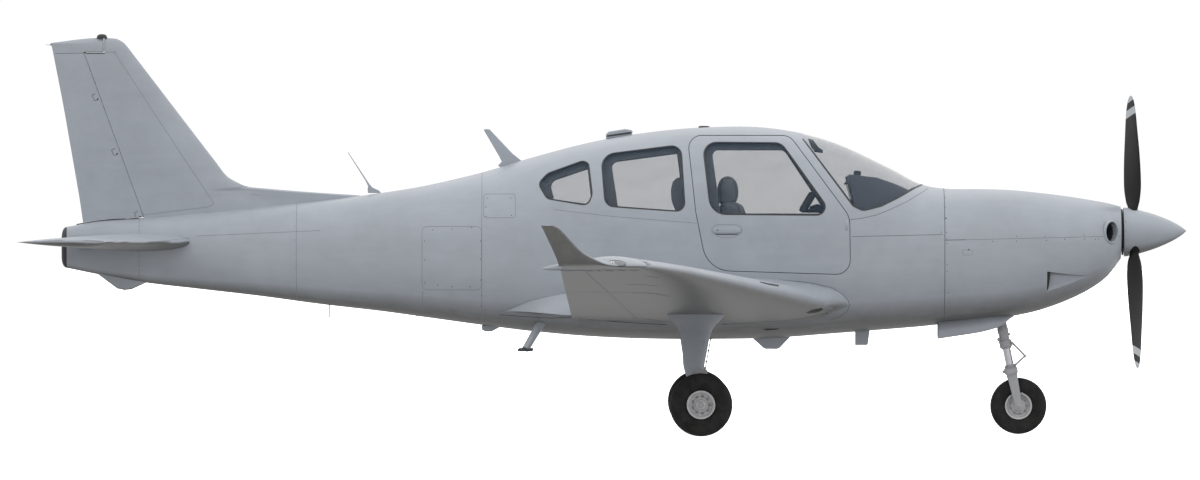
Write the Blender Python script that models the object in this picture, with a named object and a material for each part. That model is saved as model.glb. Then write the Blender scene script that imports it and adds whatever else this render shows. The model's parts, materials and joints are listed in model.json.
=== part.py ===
# Single-engine light aircraft with fixed tricycle gear, low wing and four to five seats.
# Metres, +X to the nose, +Y to the aircraft's left, +Z up, ground at Z = 0.

import bpy
import bmesh
import math
from mathutils import Matrix, Vector

for old in list(bpy.data.objects):
    bpy.data.objects.remove(old, do_unlink=True)

GAP = 0.0003
CUT_GAP = 0.0004
CLEAR = 0.006
FLAP_CLEAR = 0.008
PIN_R = 0.008
PIN_REACH = 0.014

# Fuselage stations, in metres:
# x, crown height, keel height, half width, height of the widest point, roundness
FUSELAGE = [
    (-3.868, 1.493, 1.196, 0.075, 1.345, 2.2),
    (-3.645, 1.531, 1.150, 0.098, 1.340, 2.2),
    (-3.300, 1.557, 1.090, 0.140, 1.330, 2.2),
    (-2.910, 1.596, 1.044, 0.188, 1.322, 2.25),
    (-2.478, 1.637, 0.994, 0.240, 1.315, 2.3),
    (-2.046, 1.679, 0.936, 0.300, 1.308, 2.35),
    (-1.614, 1.735, 0.886, 0.368, 1.300, 2.4),
    (-1.290, 1.788, 0.842, 0.425, 1.292, 2.4),
    (-0.878, 1.884, 0.785, 0.495, 1.280, 2.4),
    (-0.534, 1.987, 0.742, 0.548, 1.270, 2.4),
    (-0.102, 2.100, 0.704, 0.600, 1.260, 2.4),
    (0.330, 2.174, 0.686, 0.630, 1.250, 2.4),
    (0.762, 2.210, 0.684, 0.640, 1.245, 2.4),
    (1.194, 2.203, 0.691, 0.632, 1.245, 2.4),
    (1.626, 2.110, 0.722, 0.610, 1.250, 2.4),
    (2.058, 1.915, 0.756, 0.580, 1.262, 2.4),
    (2.274, 1.802, 0.774, 0.565, 1.270, 2.4),
    (2.442, 1.768, 0.792, 0.552, 1.275, 2.4),
    (2.706, 1.764, 0.818, 0.528, 1.285, 2.4),
    (2.922, 1.757, 0.846, 0.505, 1.300, 2.4),
    (3.138, 1.736, 0.893, 0.475, 1.320, 2.35),
    (3.354, 1.709, 0.972, 0.434, 1.350, 2.3),
    (3.520, 1.682, 1.058, 0.385, 1.385, 2.25),
    (3.636, 1.660, 1.150, 0.320, 1.420, 2.15),
    (3.718, 1.638, 1.267, 0.215, 1.452, 2.0),
]
TAIL_X = -3.868
TAIL_CAP_X = -3.906
TAIL_MIDDLE_Z = 1.345
CABIN_REAR_X = -0.878
FIREWALL_X = 2.442
COWL_FRONT_X = 3.718
CABIN_WALL = 0.035
BOOM_WALL = 0.012
COWL_WALL = 0.010
GLASS_WALL = 0.006
SECTION_POINTS = 24

# Thrust line: the disc leans back a little at the top, and the blades stand a little turned
THRUST_Z = 1.456
THRUST_TILT = math.radians(1.0)
BLADE_TURN = math.radians(-14)
PROP_X = 3.812
SPINNER_BASE_X = 3.7395
SPINNER_BACK_PLATE = 0.008
SHAFT_RADIUS = 0.05

# Wing planform at the straight panels' two ends
WING_ROOT_S = 0.65
WING_TIP_S = 4.70
LE_ROOT = Vector((1.62, WING_ROOT_S, 0.945))
LE_TIP = Vector((0.296, WING_TIP_S, 1.246))
TE_ROOT = Vector((-0.232, WING_ROOT_S, 0.845))
TE_TIP = Vector((-0.304, WING_TIP_S, 1.192))
WING_INNER_S = 0.20
WING_THICKNESS = 0.14
HINGE_FRACTION = 0.76
NOSE_STEPS = 9
FLAP_SPAN = (0.78, 2.86)
AILERON_SPAN = (2.90, 4.58)

# Tailplane
STAB_Z = 1.381
STAB_ROOT_S = 0.07
STAB_TIP_S = 1.66
STAB_LE = (-2.983, -3.545)
STAB_TE = (-4.120, -4.189)
STAB_THICKNESS = 0.11
STAB_HORN_S = 1.46
ELEVATOR_ROOT_S = 0.125
ELEVATOR_HINGE_X = -3.775
ELEVATOR_NOSE_R = 0.039

# Fin: x and z of the corners in side view
FIN_HINGE_TOP = Vector((-3.757, 0, 2.738))
FIN_HINGE_BOTTOM = Vector((-3.331, 0, 1.562))
RUDDER_HORN_Z = 2.747
RUDDER_HORN_X = -3.604
RUDDER_NOSE_R = 0.038

# Wheels
MAIN_X = 0.688
MAIN_TRACK_HALF = 1.45
MAIN_TYRE_R = 0.2245
MAIN_TYRE_WIDTH = 0.155
NOSE_X = 2.982
NOSE_TYRE_R = 0.203
NOSE_TYRE_WIDTH = 0.135
AXLE_R = 0.018
STRUT_LEAN = math.radians(11.6)


def material(name, color, roughness, metallic=0.0, alpha=1.0):
    made = bpy.data.materials.new(name)
    made.use_nodes = True
    shader = made.node_tree.nodes["Principled BSDF"]
    shader.inputs["Base Color"].default_value = (*color, 1.0)
    shader.inputs["Roughness"].default_value = roughness
    shader.inputs["Metallic"].default_value = metallic
    shader.inputs["Alpha"].default_value = alpha
    return made


PAINT = material("satin_grey_paint", (0.36, 0.39, 0.43), 0.45)
DARK = material("dark_trim", (0.03, 0.03, 0.035), 0.6)
GLASS = material("clear_glass", (0.75, 0.8, 0.82), 0.05, 0.0, 0.3)
STEEL = material("silver_steel", (0.5, 0.51, 0.52), 0.35, 0.9)
RUBBER = material("tyre_rubber", (0.015, 0.015, 0.016), 0.8)
BLADE = material("black_blade", (0.02, 0.02, 0.022), 0.5)
FABRIC = material("seat_cloth", (0.06, 0.065, 0.075), 0.9)
BLOCK = material("engine_metal", (0.3, 0.3, 0.3), 0.5, 0.8)


def node_from(name, bm, mat, smooth=40):
    """An object from a bmesh, with its normals made outward."""
    bmesh.ops.recalc_face_normals(bm, faces=bm.faces)
    if bm.calc_volume(signed=True) < 0:
        bmesh.ops.reverse_faces(bm, faces=bm.faces)
    mesh = bpy.data.meshes.new(name)
    bm.to_mesh(mesh)
    bm.free()
    if mat:
        mesh.materials.append(mat)
    mesh.shade_smooth()
    mesh.set_sharp_from_angle(angle=math.radians(smooth))
    made = bpy.data.objects.new(name, mesh)
    bpy.context.collection.objects.link(made)
    return made


def helper(made):
    made.hide_render = True
    made.display_type = "WIRE"
    return made


def loft(name, rings, mat=None, smooth=40, split=False):
    """A closed solid through rings of points, all with the same count."""
    bm = bmesh.new()
    rows = [[bm.verts.new(p) for p in ring] for ring in rings]
    count = len(rings[0])
    for first, second in zip(rows, rows[1:]):
        for i in range(count):
            j = (i + 1) % count
            if split:
                bm.faces.new((first[i], first[j], second[j]))
                bm.faces.new((first[i], second[j], second[i]))
            else:
                bm.faces.new((first[i], first[j], second[j], second[i]))
    bm.faces.new(rows[0])
    bm.faces.new(rows[-1])
    return node_from(name, bm, mat, smooth)


def prism(name, outline, low, high, mat=None, plane="XZ", smooth=30):
    """An outline extruded along the axis that its plane leaves out."""
    place = {
        "XZ": lambda a, b, c: (a, c, b),
        "YZ": lambda a, b, c: (c, a, b),
        "XY": lambda a, b, c: (a, b, c),
    }[plane]
    rings = [[Vector(place(a, b, c)) for a, b in outline] for c in (low, high)]
    return loft(name, rings, mat, smooth)


def box(name, low, high, mat=None):
    outline = [(low[0], low[1]), (high[0], low[1]), (high[0], high[1]), (low[0], high[1])]
    return prism(name, outline, low[2], high[2], mat, "XY")


def frame_of(start, end):
    """A matrix whose Z runs from start to end."""
    along = (Vector(end) - Vector(start)).normalized()
    turn = Vector((0, 0, 1)).rotation_difference(along).to_matrix().to_4x4()
    return Matrix.Translation(start) @ turn


def turned(name, start, end, profile, mat=None, sides=24, smooth=35):
    """A solid of revolution: profile holds (distance from start, radius) with closed ends."""
    place = frame_of(start, end)
    rings = []
    for along, radius in profile:
        ring = []
        for i in range(sides):
            angle = 2 * math.pi * i / sides
            ring.append(place @ Vector((radius * math.cos(angle), radius * math.sin(angle), along)))
        rings.append(ring)
    return loft(name, rings, mat, smooth)


def rod(name, start, end, radius, mat=None, sides=16):
    length = (Vector(end) - Vector(start)).length
    return turned(name, start, end, [(0, radius), (length, radius)], mat, sides)


def boolean(target, operation, *others, solver="EXACT"):
    for other in others:
        modifier = target.modifiers.new(operation.lower(), "BOOLEAN")
        modifier.operation = operation
        modifier.solver = solver
        modifier.object = helper(other)
    return target


def cut(target, *others):
    return boolean(target, "DIFFERENCE", *others)


def join(target, *others):
    return boolean(target, "UNION", *others)


def keep(target, *others):
    return boolean(target, "INTERSECT", *others)


def between(table, x, column):
    """Catmull-Rom value of a station table's column at x."""
    last = len(table) - 1
    i = 0
    while i < last - 1 and x > table[i + 1][0]:
        i += 1
    rows = [table[max(0, i - 1)], table[i], table[i + 1], table[min(last, i + 2)]]
    xs = [row[0] for row in rows]
    vs = [row[column] for row in rows]
    width = xs[2] - xs[1]
    t = min(1.0, max(0.0, (x - xs[1]) / width))
    slope_a = (vs[2] - vs[0]) / (xs[2] - xs[0]) * width
    slope_b = (vs[3] - vs[1]) / (xs[3] - xs[1]) * width
    rise = 3 * t * t - 2 * t ** 3
    return (
        vs[1] * (1 - rise)
        + vs[2] * rise
        + slope_a * (t ** 3 - 2 * t * t + t)
        + slope_b * (t ** 3 - t * t)
    )


def hull_ring(x, inset=0.0, points=SECTION_POINTS):
    """The fuselage section at x, moved inward by inset."""
    crown = between(FUSELAGE, x, 1) - inset
    keel = between(FUSELAGE, x, 2) + inset
    half = between(FUSELAGE, x, 3) - inset
    wide = between(FUSELAGE, x, 4)
    power = 2 / between(FUSELAGE, x, 5)
    ring = []
    for i in range(points):
        angle = 2 * math.pi * (i + 0.5) / points
        c, s = math.cos(angle), math.sin(angle)
        y = math.copysign(abs(c) ** power, c) * half
        reach = (crown - wide) if s > 0 else (wide - keel)
        z = wide + math.copysign(abs(s) ** power, s) * reach
        ring.append(Vector((x, y, z)))
    return ring


def hull(name, start, end, inset=0.0, mat=None):
    """A solid length of fuselage. Its facets run between the stations, wherever it starts and ends."""
    stations = [row[0] for row in FUSELAGE]
    first = max([i for i, x in enumerate(stations) if x <= start], default=0)
    last = min([i for i, x in enumerate(stations) if x >= end], default=len(stations) - 1)
    rings = [hull_ring(x, inset) for x in stations[first:last + 1]]
    if start < stations[0]:
        rings.insert(0, [Vector((start, p.y, p.z)) for p in rings[0]])
    if end > stations[-1]:
        rings.append([Vector((end, p.y, p.z)) for p in rings[-1]])
    made = loft(name, rings, mat, 60, split=True)
    if start > stations[first] or end < stations[last]:
        keep(made, box(name + "_length", (start, -1, 0.3), (end, 1, 2.6)))
    return made


def rounded(points, radii, steps=3):
    """A closed outline whose corners are replaced by arcs."""
    made = []
    count = len(points)
    for i, corner in enumerate(points):
        radius = radii[i] if isinstance(radii, (list, tuple)) else radii
        here = Vector(corner)
        back = (Vector(points[i - 1]) - here).normalized()
        ahead = (Vector(points[(i + 1) % count]) - here).normalized()
        turn = math.acos(max(-1, min(1, back.dot(ahead))))
        if radius <= 0 or turn > math.radians(170):
            made.append((here.x, here.y))
            continue
        reach = radius / math.tan(turn / 2)
        centre = here + (back + ahead).normalized() * (radius / math.sin(turn / 2))
        first = here + back * reach - centre
        second = here + ahead * reach - centre
        sweep = first.angle_signed(second)
        for k in range(steps + 1):
            spoke = first.copy()
            spoke.rotate(Matrix.Rotation(-sweep * k / steps, 2))
            made.append((centre.x + spoke.x, centre.y + spoke.y))
    return made


def grown(outline, distance):
    """The outline moved outward by distance; a negative distance moves it inward."""
    count = len(outline)
    area = sum(
        outline[i][0] * outline[(i + 1) % count][1] - outline[(i + 1) % count][0] * outline[i][1]
        for i in range(count)
    )
    side = 1 if area > 0 else -1
    made = []
    for i in range(count):
        before, here, after = (Vector(outline[k % count]) for k in (i - 1, i, i + 1))
        a = (here - before).normalized()
        b = (after - here).normalized()
        normal = Vector((a.y + b.y, -a.x - b.x)).normalized() * side
        spread = max(0.3, normal.dot(Vector((a.y, -a.x)) * side))
        made.append(tuple(here + normal * distance / spread))
    return made


# Window and door outlines in side view, x and z, with a corner radius for each point
REAR_WINDOW = rounded(
    [
        (-0.474, 1.802),
        (-0.405, 1.876),
        (-0.150, 1.968),
        (-0.112, 1.945),
        (-0.086, 1.722),
        (-0.118, 1.645),
        (-0.410, 1.694),
    ],
    [0.05, 0.09, 0.05, 0.03, 0.09, 0.05, 0.05],
)
MIDDLE_WINDOW = rounded(
    [(-0.022, 2.010), (0.550, 2.082), (0.580, 1.600), (0.008, 1.640)],
    [0.10, 0.07, 0.06, 0.07],
)
DOOR_WINDOW = rounded(
    [(0.705, 2.100), (1.270, 2.096), (1.640, 1.575), (0.765, 1.582)],
    [0.09, 0.09, 0.06, 0.12],
)
DOOR = rounded(
    [(0.610, 2.146), (1.330, 2.146), (1.757, 1.563), (1.762, 1.150), (0.745, 1.182), (0.665, 1.600)],
    [0.09, 0.10, 0.16, 0.10, 0.20, 0.60],
    4,
)
DOOR_OPENING = rounded(
    [(0.592, 2.152), (1.333, 2.152), (1.763, 1.565), (1.768, 1.144), (0.742, 1.175), (0.656, 1.600)],
    [0.09, 0.10, 0.16, 0.10, 0.20, 0.60],
    4,
)
# The door hinge leans inward at the top, as the skin does there: x, y and z of a low and a high point
DOOR_AXIS = (Vector((1.7645, 0.606, 1.20)), Vector((1.7645, 0.591, 1.50)))
HINGE_LUG_R = 0.008
HINGE_LUG = 0.04
WINDSHIELD = rounded(
    [
        (1.428, 2.123),
        (1.785, 1.642),
        (1.855, 1.608),
        (1.985, 1.641),
        (2.110, 1.702),
        (2.228, 1.769),
        (2.280, 1.792),
        (2.480, 1.900),
        (1.950, 2.330),
        (1.470, 2.330),
    ],
    [0.0, 0.05, 0.06, 0, 0, 0, 0, 0, 0, 0],
)
SIDE_REACH = 1.2


def fuselage():
    """The hollow cabin, the tail boom and what closes them."""
    shell = hull("cabin_shell", CABIN_REAR_X, FIREWALL_X, 0.0, PAINT)
    cut(shell, hull("cabin_hollow", CABIN_REAR_X - 0.05, FIREWALL_X + 0.05, CABIN_WALL))
    for side, low, high in (("right", -SIDE_REACH, -0.05), ("left", 0.05, SIDE_REACH)):
        cut(shell, prism("cut_rear_window_" + side, REAR_WINDOW, low, high))
        cut(shell, prism("cut_middle_window_" + side, MIDDLE_WINDOW, low, high))
        cut(shell, prism("cut_door_" + side, DOOR_OPENING, low, high))
    cut(shell, prism("cut_windshield", WINDSHIELD, -SIDE_REACH, SIDE_REACH))

    for side, low, high in (("right", -SIDE_REACH, -0.05), ("left", 0.05, SIDE_REACH)):
        for kind, outline in (("rear", REAR_WINDOW), ("middle", MIDDLE_WINDOW)):
            pane(kind + "_window_" + side, outline, low, high)
        door = hull("door_" + side, 0.4, 2.0, 0.0, PAINT)
        cut(door, hull("door_hollow_" + side, 0.3, 2.1, CABIN_WALL))
        keep(door, prism("door_shape_" + side, DOOR, low, high))
        cut(door, prism("cut_door_window_" + side, DOOR_WINDOW, low, high))
        door_hinges(-1 if side == "right" else 1, shell, door)
        pane("door_window_" + side, DOOR_WINDOW, low, high)
    pane("windshield", WINDSHIELD, -SIDE_REACH, SIDE_REACH)

    boom = hull("tail_boom", TAIL_X, CABIN_REAR_X - GAP, 0.0, PAINT)
    cut(boom, hull("boom_hollow", TAIL_X + 0.08, CABIN_REAR_X + 0.05, BOOM_WALL))
    cap_rings = [hull_ring(TAIL_X - GAP, 0.002)]
    middle = TAIL_MIDDLE_Z
    for x, wide, tall in ((TAIL_X - 0.022, 0.9, 0.93), (TAIL_CAP_X, 0.55, 0.66)):
        cap_rings.append([Vector((x, p.y * wide, middle + (p.z - middle) * tall)) for p in cap_rings[0]])
    loft("tail_end_cap", cap_rings, DARK)

    floor = box("cabin_floor", (CABIN_REAR_X + 0.05, -0.8, 0.875), (2.25, 0.8, 0.905), DARK)
    keep(floor, hull("floor_bounds", CABIN_REAR_X, FIREWALL_X, CABIN_WALL + CUT_GAP))
    front = CABIN_REAR_X + 0.030
    rear = box("rear_bulkhead", (CABIN_REAR_X + 0.012, -0.8, 0.5), (front, 0.8, 2.2), DARK)
    keep(rear, hull("rear_bounds", CABIN_REAR_X, FIREWALL_X, CABIN_WALL + CUT_GAP))
    wall = box("firewall", (FIREWALL_X - 0.030, -0.8, 0.5), (FIREWALL_X - 0.012, 0.8, 2.2), STEEL)
    keep(wall, hull("wall_bounds", CABIN_REAR_X, FIREWALL_X, CABIN_WALL + CUT_GAP))


def door_hinges(side, shell, door):
    """Two hinges, each a lug on the frame under a lug on the door, about one leaning axis."""
    low, high = (Vector((p.x, p.y * side, p.z)) for p in DOOR_AXIS)
    along = (high - low).normalized()
    for n, start in enumerate((0.02, 0.245)):
        middle = start + HINGE_LUG
        frame_lug = (low + along * start, low + along * middle)
        door_lug = (low + along * (middle + CUT_GAP), low + along * (middle + HINGE_LUG))
        for other, ends in ((door, frame_lug), (shell, door_lug)):
            room = (ends[0] - along * 0.004, ends[1] + along * 0.004)
            cut(other, rod(f"lug_room_{other.name}_{n}", *room, HINGE_LUG_R + 0.0045, None, 10))
        for owner, ends, reach in ((shell, frame_lug, 0.03), (door, door_lug, -0.03)):
            lug = rod(f"lug_{owner.name}_{n}", *ends, HINGE_LUG_R, None, 10)
            first, second = sorted((ends[0].x, ends[0].x + reach))
            inner, outer = sorted((ends[0].y - side * 0.010, ends[0].y))
            ear = (first, inner, ends[0].z + 0.002), (second, outer, ends[1].z - 0.002)
            join(owner, lug, box(f"ear_{owner.name}_{n}", *ear))


def pane(name, outline, low, high):
    """A window pane flush with the outer skin."""
    made = hull(name, -0.8, 2.5, 0.0, GLASS)
    cut(made, hull(name + "_inner", -0.9, 2.6, GLASS_WALL))
    keep(made, prism(name + "_shape", grown(outline, -CUT_GAP), low, high))
    return made


INLET_CENTRE = Vector((3.640, 0.262, 1.450))
INLET_R = 0.078
INLET_TURN = math.radians(32)
COWL_SPLIT_Z = 1.412
# The exit duct's outline and its hollow in side view, x and z
EXIT_HALF = 0.20
EXIT_OUTLINE = [
    (2.380, 0.880),
    (2.406, 0.687),
    (2.540, 0.698),
    (2.712, 0.731),
    (2.796, 0.758),
    (2.940, 0.843),
    (2.990, 0.880),
]
EXIT_INNER = [(2.2, 0.9), (2.2, 0.699), (2.540, 0.710), (2.700, 0.741), (2.780, 0.768), (2.860, 0.9)]


def cowl():
    """Two cowl halves with cheek inlets, the exit duct under them and the engine."""
    for name, low, high in (("upper_cowl", COWL_SPLIT_Z + GAP, 2.0), ("lower_cowl", 0.6, COWL_SPLIT_Z)):
        half = hull(name, FIREWALL_X + GAP, COWL_FRONT_X, 0.0, PAINT)
        cut(half, hull(name + "_hollow", FIREWALL_X - 0.05, COWL_FRONT_X - COWL_WALL, COWL_WALL))
        keep(half, box(name + "_half", (2.3, -0.8, low), (3.9, 0.8, high)))
        cut(half, rod(name + "_front", (3.5, 0, THRUST_Z), (3.9, 0, THRUST_Z), 0.150, None, 32))
        for side in (-1, 1):
            centre = Vector((INLET_CENTRE.x, side * INLET_CENTRE.y, INLET_CENTRE.z))
            out = Vector((math.cos(INLET_TURN), side * math.sin(INLET_TURN), 0))
            inner, outer = centre - out * 0.10, centre + out * 0.12
            cut(half, rod(name + "_inlet", inner, outer, INLET_R + 0.006, None, 24))
    rim = INLET_R + 0.0062
    lip = [(0, rim), (0.072, rim), (0.086, INLET_R + 0.001), (0.090, INLET_R - 0.007)]
    for side, label in ((-1, "right"), (1, "left")):
        centre = Vector((INLET_CENTRE.x, side * INLET_CENTRE.y, INLET_CENTRE.z))
        out = Vector((math.cos(INLET_TURN), side * math.sin(INLET_TURN), 0))
        ring = turned("inlet_ring_" + label, centre - out * 0.06, centre + out * 0.03, lip, STEEL)
        inner, outer = centre - out * 0.08, centre + out * 0.06
        cut(ring, rod("ring_bore_" + label, inner, outer, INLET_R - 0.010, None, 24))
        join(bpy.data.objects["upper_cowl"], ring)
        seat = rod("ring_seat_" + label, inner + out * 0.01, outer - out * 0.01, INLET_R + 0.0066, None, 24)
        cut(bpy.data.objects["lower_cowl"], seat)

    duct = prism("cowl_exit", EXIT_OUTLINE, -EXIT_HALF, EXIT_HALF, PAINT)
    cut(duct, hull("duct_bounds", 2.2, 3.2, -CUT_GAP))
    cut(duct, prism("duct_hollow", EXIT_INNER, 0.012 - EXIT_HALF, EXIT_HALF - 0.012))

    axis = Vector((math.cos(THRUST_TILT), 0, math.sin(THRUST_TILT)))
    hub = Vector((PROP_X, 0, THRUST_Z))
    block = box("engine_block", (2.56, -0.33, 1.17), (3.36, 0.33, 1.54), BLOCK)
    join(block, rod("shaft", hub - axis * 0.50, hub + axis * 0.02, SHAFT_RADIUS, None, 24))
    mount = box("engine_mount", (FIREWALL_X - 0.012 + GAP, -0.26, 1.24), (2.60, 0.26, 1.30))
    join(block, mount)


CAMBER = 0.02
EDGE_HALF = 0.0012


def airfoil_height(x, thickness):
    """Half the thickness of a symmetric section at a fraction of its chord."""
    rise = 0.2969 * math.sqrt(x) - 0.1260 * x - 0.3516 * x ** 2 + 0.2843 * x ** 3 - 0.1015 * x ** 4
    return max(5 * thickness * rise, EDGE_HALF)


def wing_point(side, s, fraction, height):
    """A point of the straight wing panel: fraction of chord, and height above the chord as a fraction."""
    t = (s - WING_ROOT_S) / (WING_TIP_S - WING_ROOT_S)
    le = LE_ROOT.lerp(LE_TIP, t)
    te = TE_ROOT.lerp(TE_TIP, t)
    chord = (le - te).length
    bow = 4 * CAMBER * fraction * (1 - fraction)
    p = le.lerp(te, fraction) + Vector((0, 0, chord * (height + bow)))
    return Vector((p.x, side * p.y, p.z))


def section_ring(place, thickness=WING_THICKNESS, points=9):
    """A closed ring of (fraction, height) through place."""
    fractions = [(1 - math.cos(math.pi * i / points)) / 2 for i in range(points + 1)]
    half = [(x, airfoil_height(x, thickness)) for x in fractions]
    ring = [place(x, y) for x, y in reversed(half)]
    ring += [place(x, -y) for x, y in half[1:]]
    return ring


def hinge_ends(side, span):
    """The hinge line's ends, at mid-thickness of the section."""
    return [wing_point(side, s, HINGE_FRACTION, 0) for s in span]


def square_to(point_at, s, hinge, direction):
    """Slides a point along the span until it lies on the plane through hinge, square to direction."""
    for _ in range(3):
        p = point_at(s)
        s -= (p - hinge).dot(direction) / abs(direction.y)
    return point_at(s)


def control_ring(side, s, span, grow):
    """A flap's section: a round nose about the hinge and the wing's own tail, square to the hinge."""
    ends = hinge_ends(side, span)
    direction = (ends[1] - ends[0]).normalized()
    hinge = wing_point(side, s, HINGE_FRACTION, 0)
    up = (Vector((0, 0, 1)) - direction * direction.z).normalized()
    ahead = side * up.cross(direction) * -1
    skin = wing_point(side, s, HINGE_FRACTION, airfoil_height(HINGE_FRACTION, WING_THICKNESS))
    nose = (skin - hinge).length + grow
    made = []
    for k in range(NOSE_STEPS + 1):
        angle = math.pi * k / NOSE_STEPS
        made.append(hinge + up * nose * math.cos(angle) + ahead * nose * math.sin(angle))
    tail = [(x, airfoil_height(x, WING_THICKNESS)) for x in (0.84, 0.92, 1.0)]
    if grow:
        tail = [(HINGE_FRACTION, 0.2), (0.84, 0.2), (1.15, 0.2)]
    for x, y in [(x, -y) for x, y in tail] + tail[::-1]:
        made.append(square_to(lambda at, x=x, y=y: wing_point(side, at, x, y), s, hinge, direction))
    return made


def wings():
    for side, label in ((-1, "right"), (1, "left")):
        rings = []
        for s in (WING_INNER_S, WING_ROOT_S, 2.0, 3.4, WING_TIP_S):
            rings.append(section_ring(lambda x, y, s=s: wing_point(side, s, x, y)))
        wing = loft("wing_" + label, rings, PAINT)
        cut(wing, hull("wing_root_" + label, -1.0, 2.3, -CUT_GAP))
        for kind, span in (("flap", FLAP_SPAN), ("aileron", AILERON_SPAN)):
            bay = (span[0] - FLAP_CLEAR, span[1] + FLAP_CLEAR)
            rings = [control_ring(side, s, span, FLAP_CLEAR) for s in bay]
            cut(wing, loft(kind + "_bay_" + label, rings))
            surface = loft(kind + "_" + label, [control_ring(side, s, span, 0) for s in span], PAINT)
            ends = hinge_ends(side, span)
            along = (ends[1] - ends[0]).normalized()
            pin_start, pin_end = ends[0] - along * PIN_REACH, ends[1] + along * PIN_REACH
            join(surface, rod(kind + "_pin_" + label, pin_start, pin_end, PIN_R, None, 12))
            reach = along * 0.002
            hole = rod(kind + "_hole_" + label, pin_start - reach, pin_end + reach, PIN_R + CUT_GAP, None, 12)
            cut(wing, hole)
        tip(side, label)


# Wing tip stations: x of nose and tail, y, z, thickness fraction, lean of the section in degrees
TIP = [
    (0.296, -0.304, WING_TIP_S + GAP, 1.2190, 0.14, 0),
    (0.235, -0.308, 4.86, 1.2290, 0.135, 4),
    (0.150, -0.312, 4.98, 1.2330, 0.12, 14),
    (0.040, -0.318, 5.060, 1.2400, 0.10, 38),
    (-0.070, -0.330, 5.100, 1.2700, 0.085, 62),
    (-0.170, -0.358, 5.130, 1.3330, 0.075, 76),
    (-0.295, -0.420, 5.175, 1.4650, 0.07, 78),
    (-0.345, -0.438, 5.186, 1.4960, 0.05, 78),
]


def tip(side, label):
    rings = []
    for nose, tail, y, z, thickness, lean in TIP:
        chord = nose - tail
        up = Vector((0, -side * math.sin(math.radians(lean)), math.cos(math.radians(lean))))
        slope = (0.027 if lean < 30 else 0.0)
        ring = section_ring(
            lambda x, h: Vector((nose - chord * x, side * y, z + slope * (1 - 2 * x))) + up * chord * h,
            thickness,
        )
        rings.append(ring)
    loft("wing_tip_" + label, rings, PAINT)


def stab_point(side, s, x, y):
    t = (s - STAB_ROOT_S) / (STAB_TIP_S - STAB_ROOT_S)
    le = STAB_LE[0] + (STAB_LE[1] - STAB_LE[0]) * t
    te = STAB_TE[0] + (STAB_TE[1] - STAB_TE[0]) * t
    return Vector((le + (te - le) * x, side * s, STAB_Z + (le - te) * y))


def stab_half(name, side, root):
    """One half of the tailplane as a whole section, from root to tip."""
    rings = []
    for s, thin in ((root, 1.0), (0.9, 1.0), (1.56, 1.0), (1.63, 0.8), (STAB_TIP_S, 0.4)):
        rings.append(section_ring(lambda x, y, s=s: stab_point(side, s, x, y), STAB_THICKNESS * thin, 8))
    return loft(name, rings, PAINT)


def round_front(radius, steps=8):
    """A half circle from top to bottom, with its bulge to the front."""
    return [
        (radius * math.sin(math.pi * k / steps), radius * math.cos(math.pi * k / steps))
        for k in range(steps + 1)
    ]


def elevator_space(name, side, grow, root):
    """What lies behind the elevator's hinge, with a round front about it, and the tip's horn."""
    arc = round_front(ELEVATOR_NOSE_R + grow)
    outline = [(ELEVATOR_HINGE_X + x, STAB_Z + z) for x, z in arc]
    outline += [(ELEVATOR_HINGE_X, STAB_Z - 0.3), (-4.5, STAB_Z - 0.3)]
    outline += [(-4.5, STAB_Z + 0.3), (ELEVATOR_HINGE_X, STAB_Z + 0.3)]
    start, end = sorted((side * root, side * (STAB_TIP_S + 0.1)))
    space = prism(name, outline, start, end)
    start, end = sorted((side * (STAB_HORN_S - grow), side * (STAB_TIP_S + 0.1)))
    horn = box(name + "_horn", (-4.5, start, STAB_Z - 0.3), (-3.0, end, STAB_Z + 0.3))
    return join(space, horn)


def tailplane():
    boom = bpy.data.objects["tail_boom"]
    halves = {}
    for side, label in ((-1, "right"), (1, "left")):
        fixed = stab_half("stabiliser_" + label, side, 0.01)
        cut(fixed, hull("stab_root_" + label, -3.9, -2.5, -CUT_GAP))
        cut(fixed, elevator_space("elevator_bay_" + label, side, CLEAR, 0.0))
        halves[side] = stab_half("elevator" if side == 1 else "elevator_right", side, ELEVATOR_ROOT_S)
        keep(halves[side], elevator_space("elevator_shape_" + label, side, 0.0, 0.01))
    centre = Vector((ELEVATOR_HINGE_X, 0, STAB_Z))
    reach = Vector((0, ELEVATOR_ROOT_S + 0.03, 0))
    elevator = halves[1]
    join(elevator, rod("elevator_tube", centre - reach, centre + reach, 0.016), halves[-1])
    cut(boom, rod("tube_hole", centre - reach, centre + reach, 0.016 + CUT_GAP))


# Fin stations: height, x of the leading edge, x of the trailing edge, half thickness
FIN = [
    (1.450, -1.700, -3.741, 0.030),
    (1.660, -1.700, -3.772, 0.040),
    (1.714, -1.730, -3.780, 0.046),
    (1.752, -2.160, -3.787, 0.050),
    (1.789, -2.580, -3.793, 0.054),
    (1.858, -2.695, -3.805, 0.056),
    (1.955, -2.793, -3.822, 0.056),
    (2.380, -3.119, -3.897, 0.046),
    (2.774, -3.421, -3.974, 0.036),
    (2.815, -3.466, -3.981, 0.031),
    (2.840, -3.532, -3.950, 0.020),
    (2.850, -3.640, -3.880, 0.008),
]


def fin_solid(name):
    rings = []
    for z, le, te, half in FIN:
        chord = le - te
        ring = section_ring(lambda x, y: Vector((le - chord * x, chord * y, z)), 2 * half / chord, 9)
        rings.append(ring)
    return loft(name, rings, PAINT)


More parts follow.
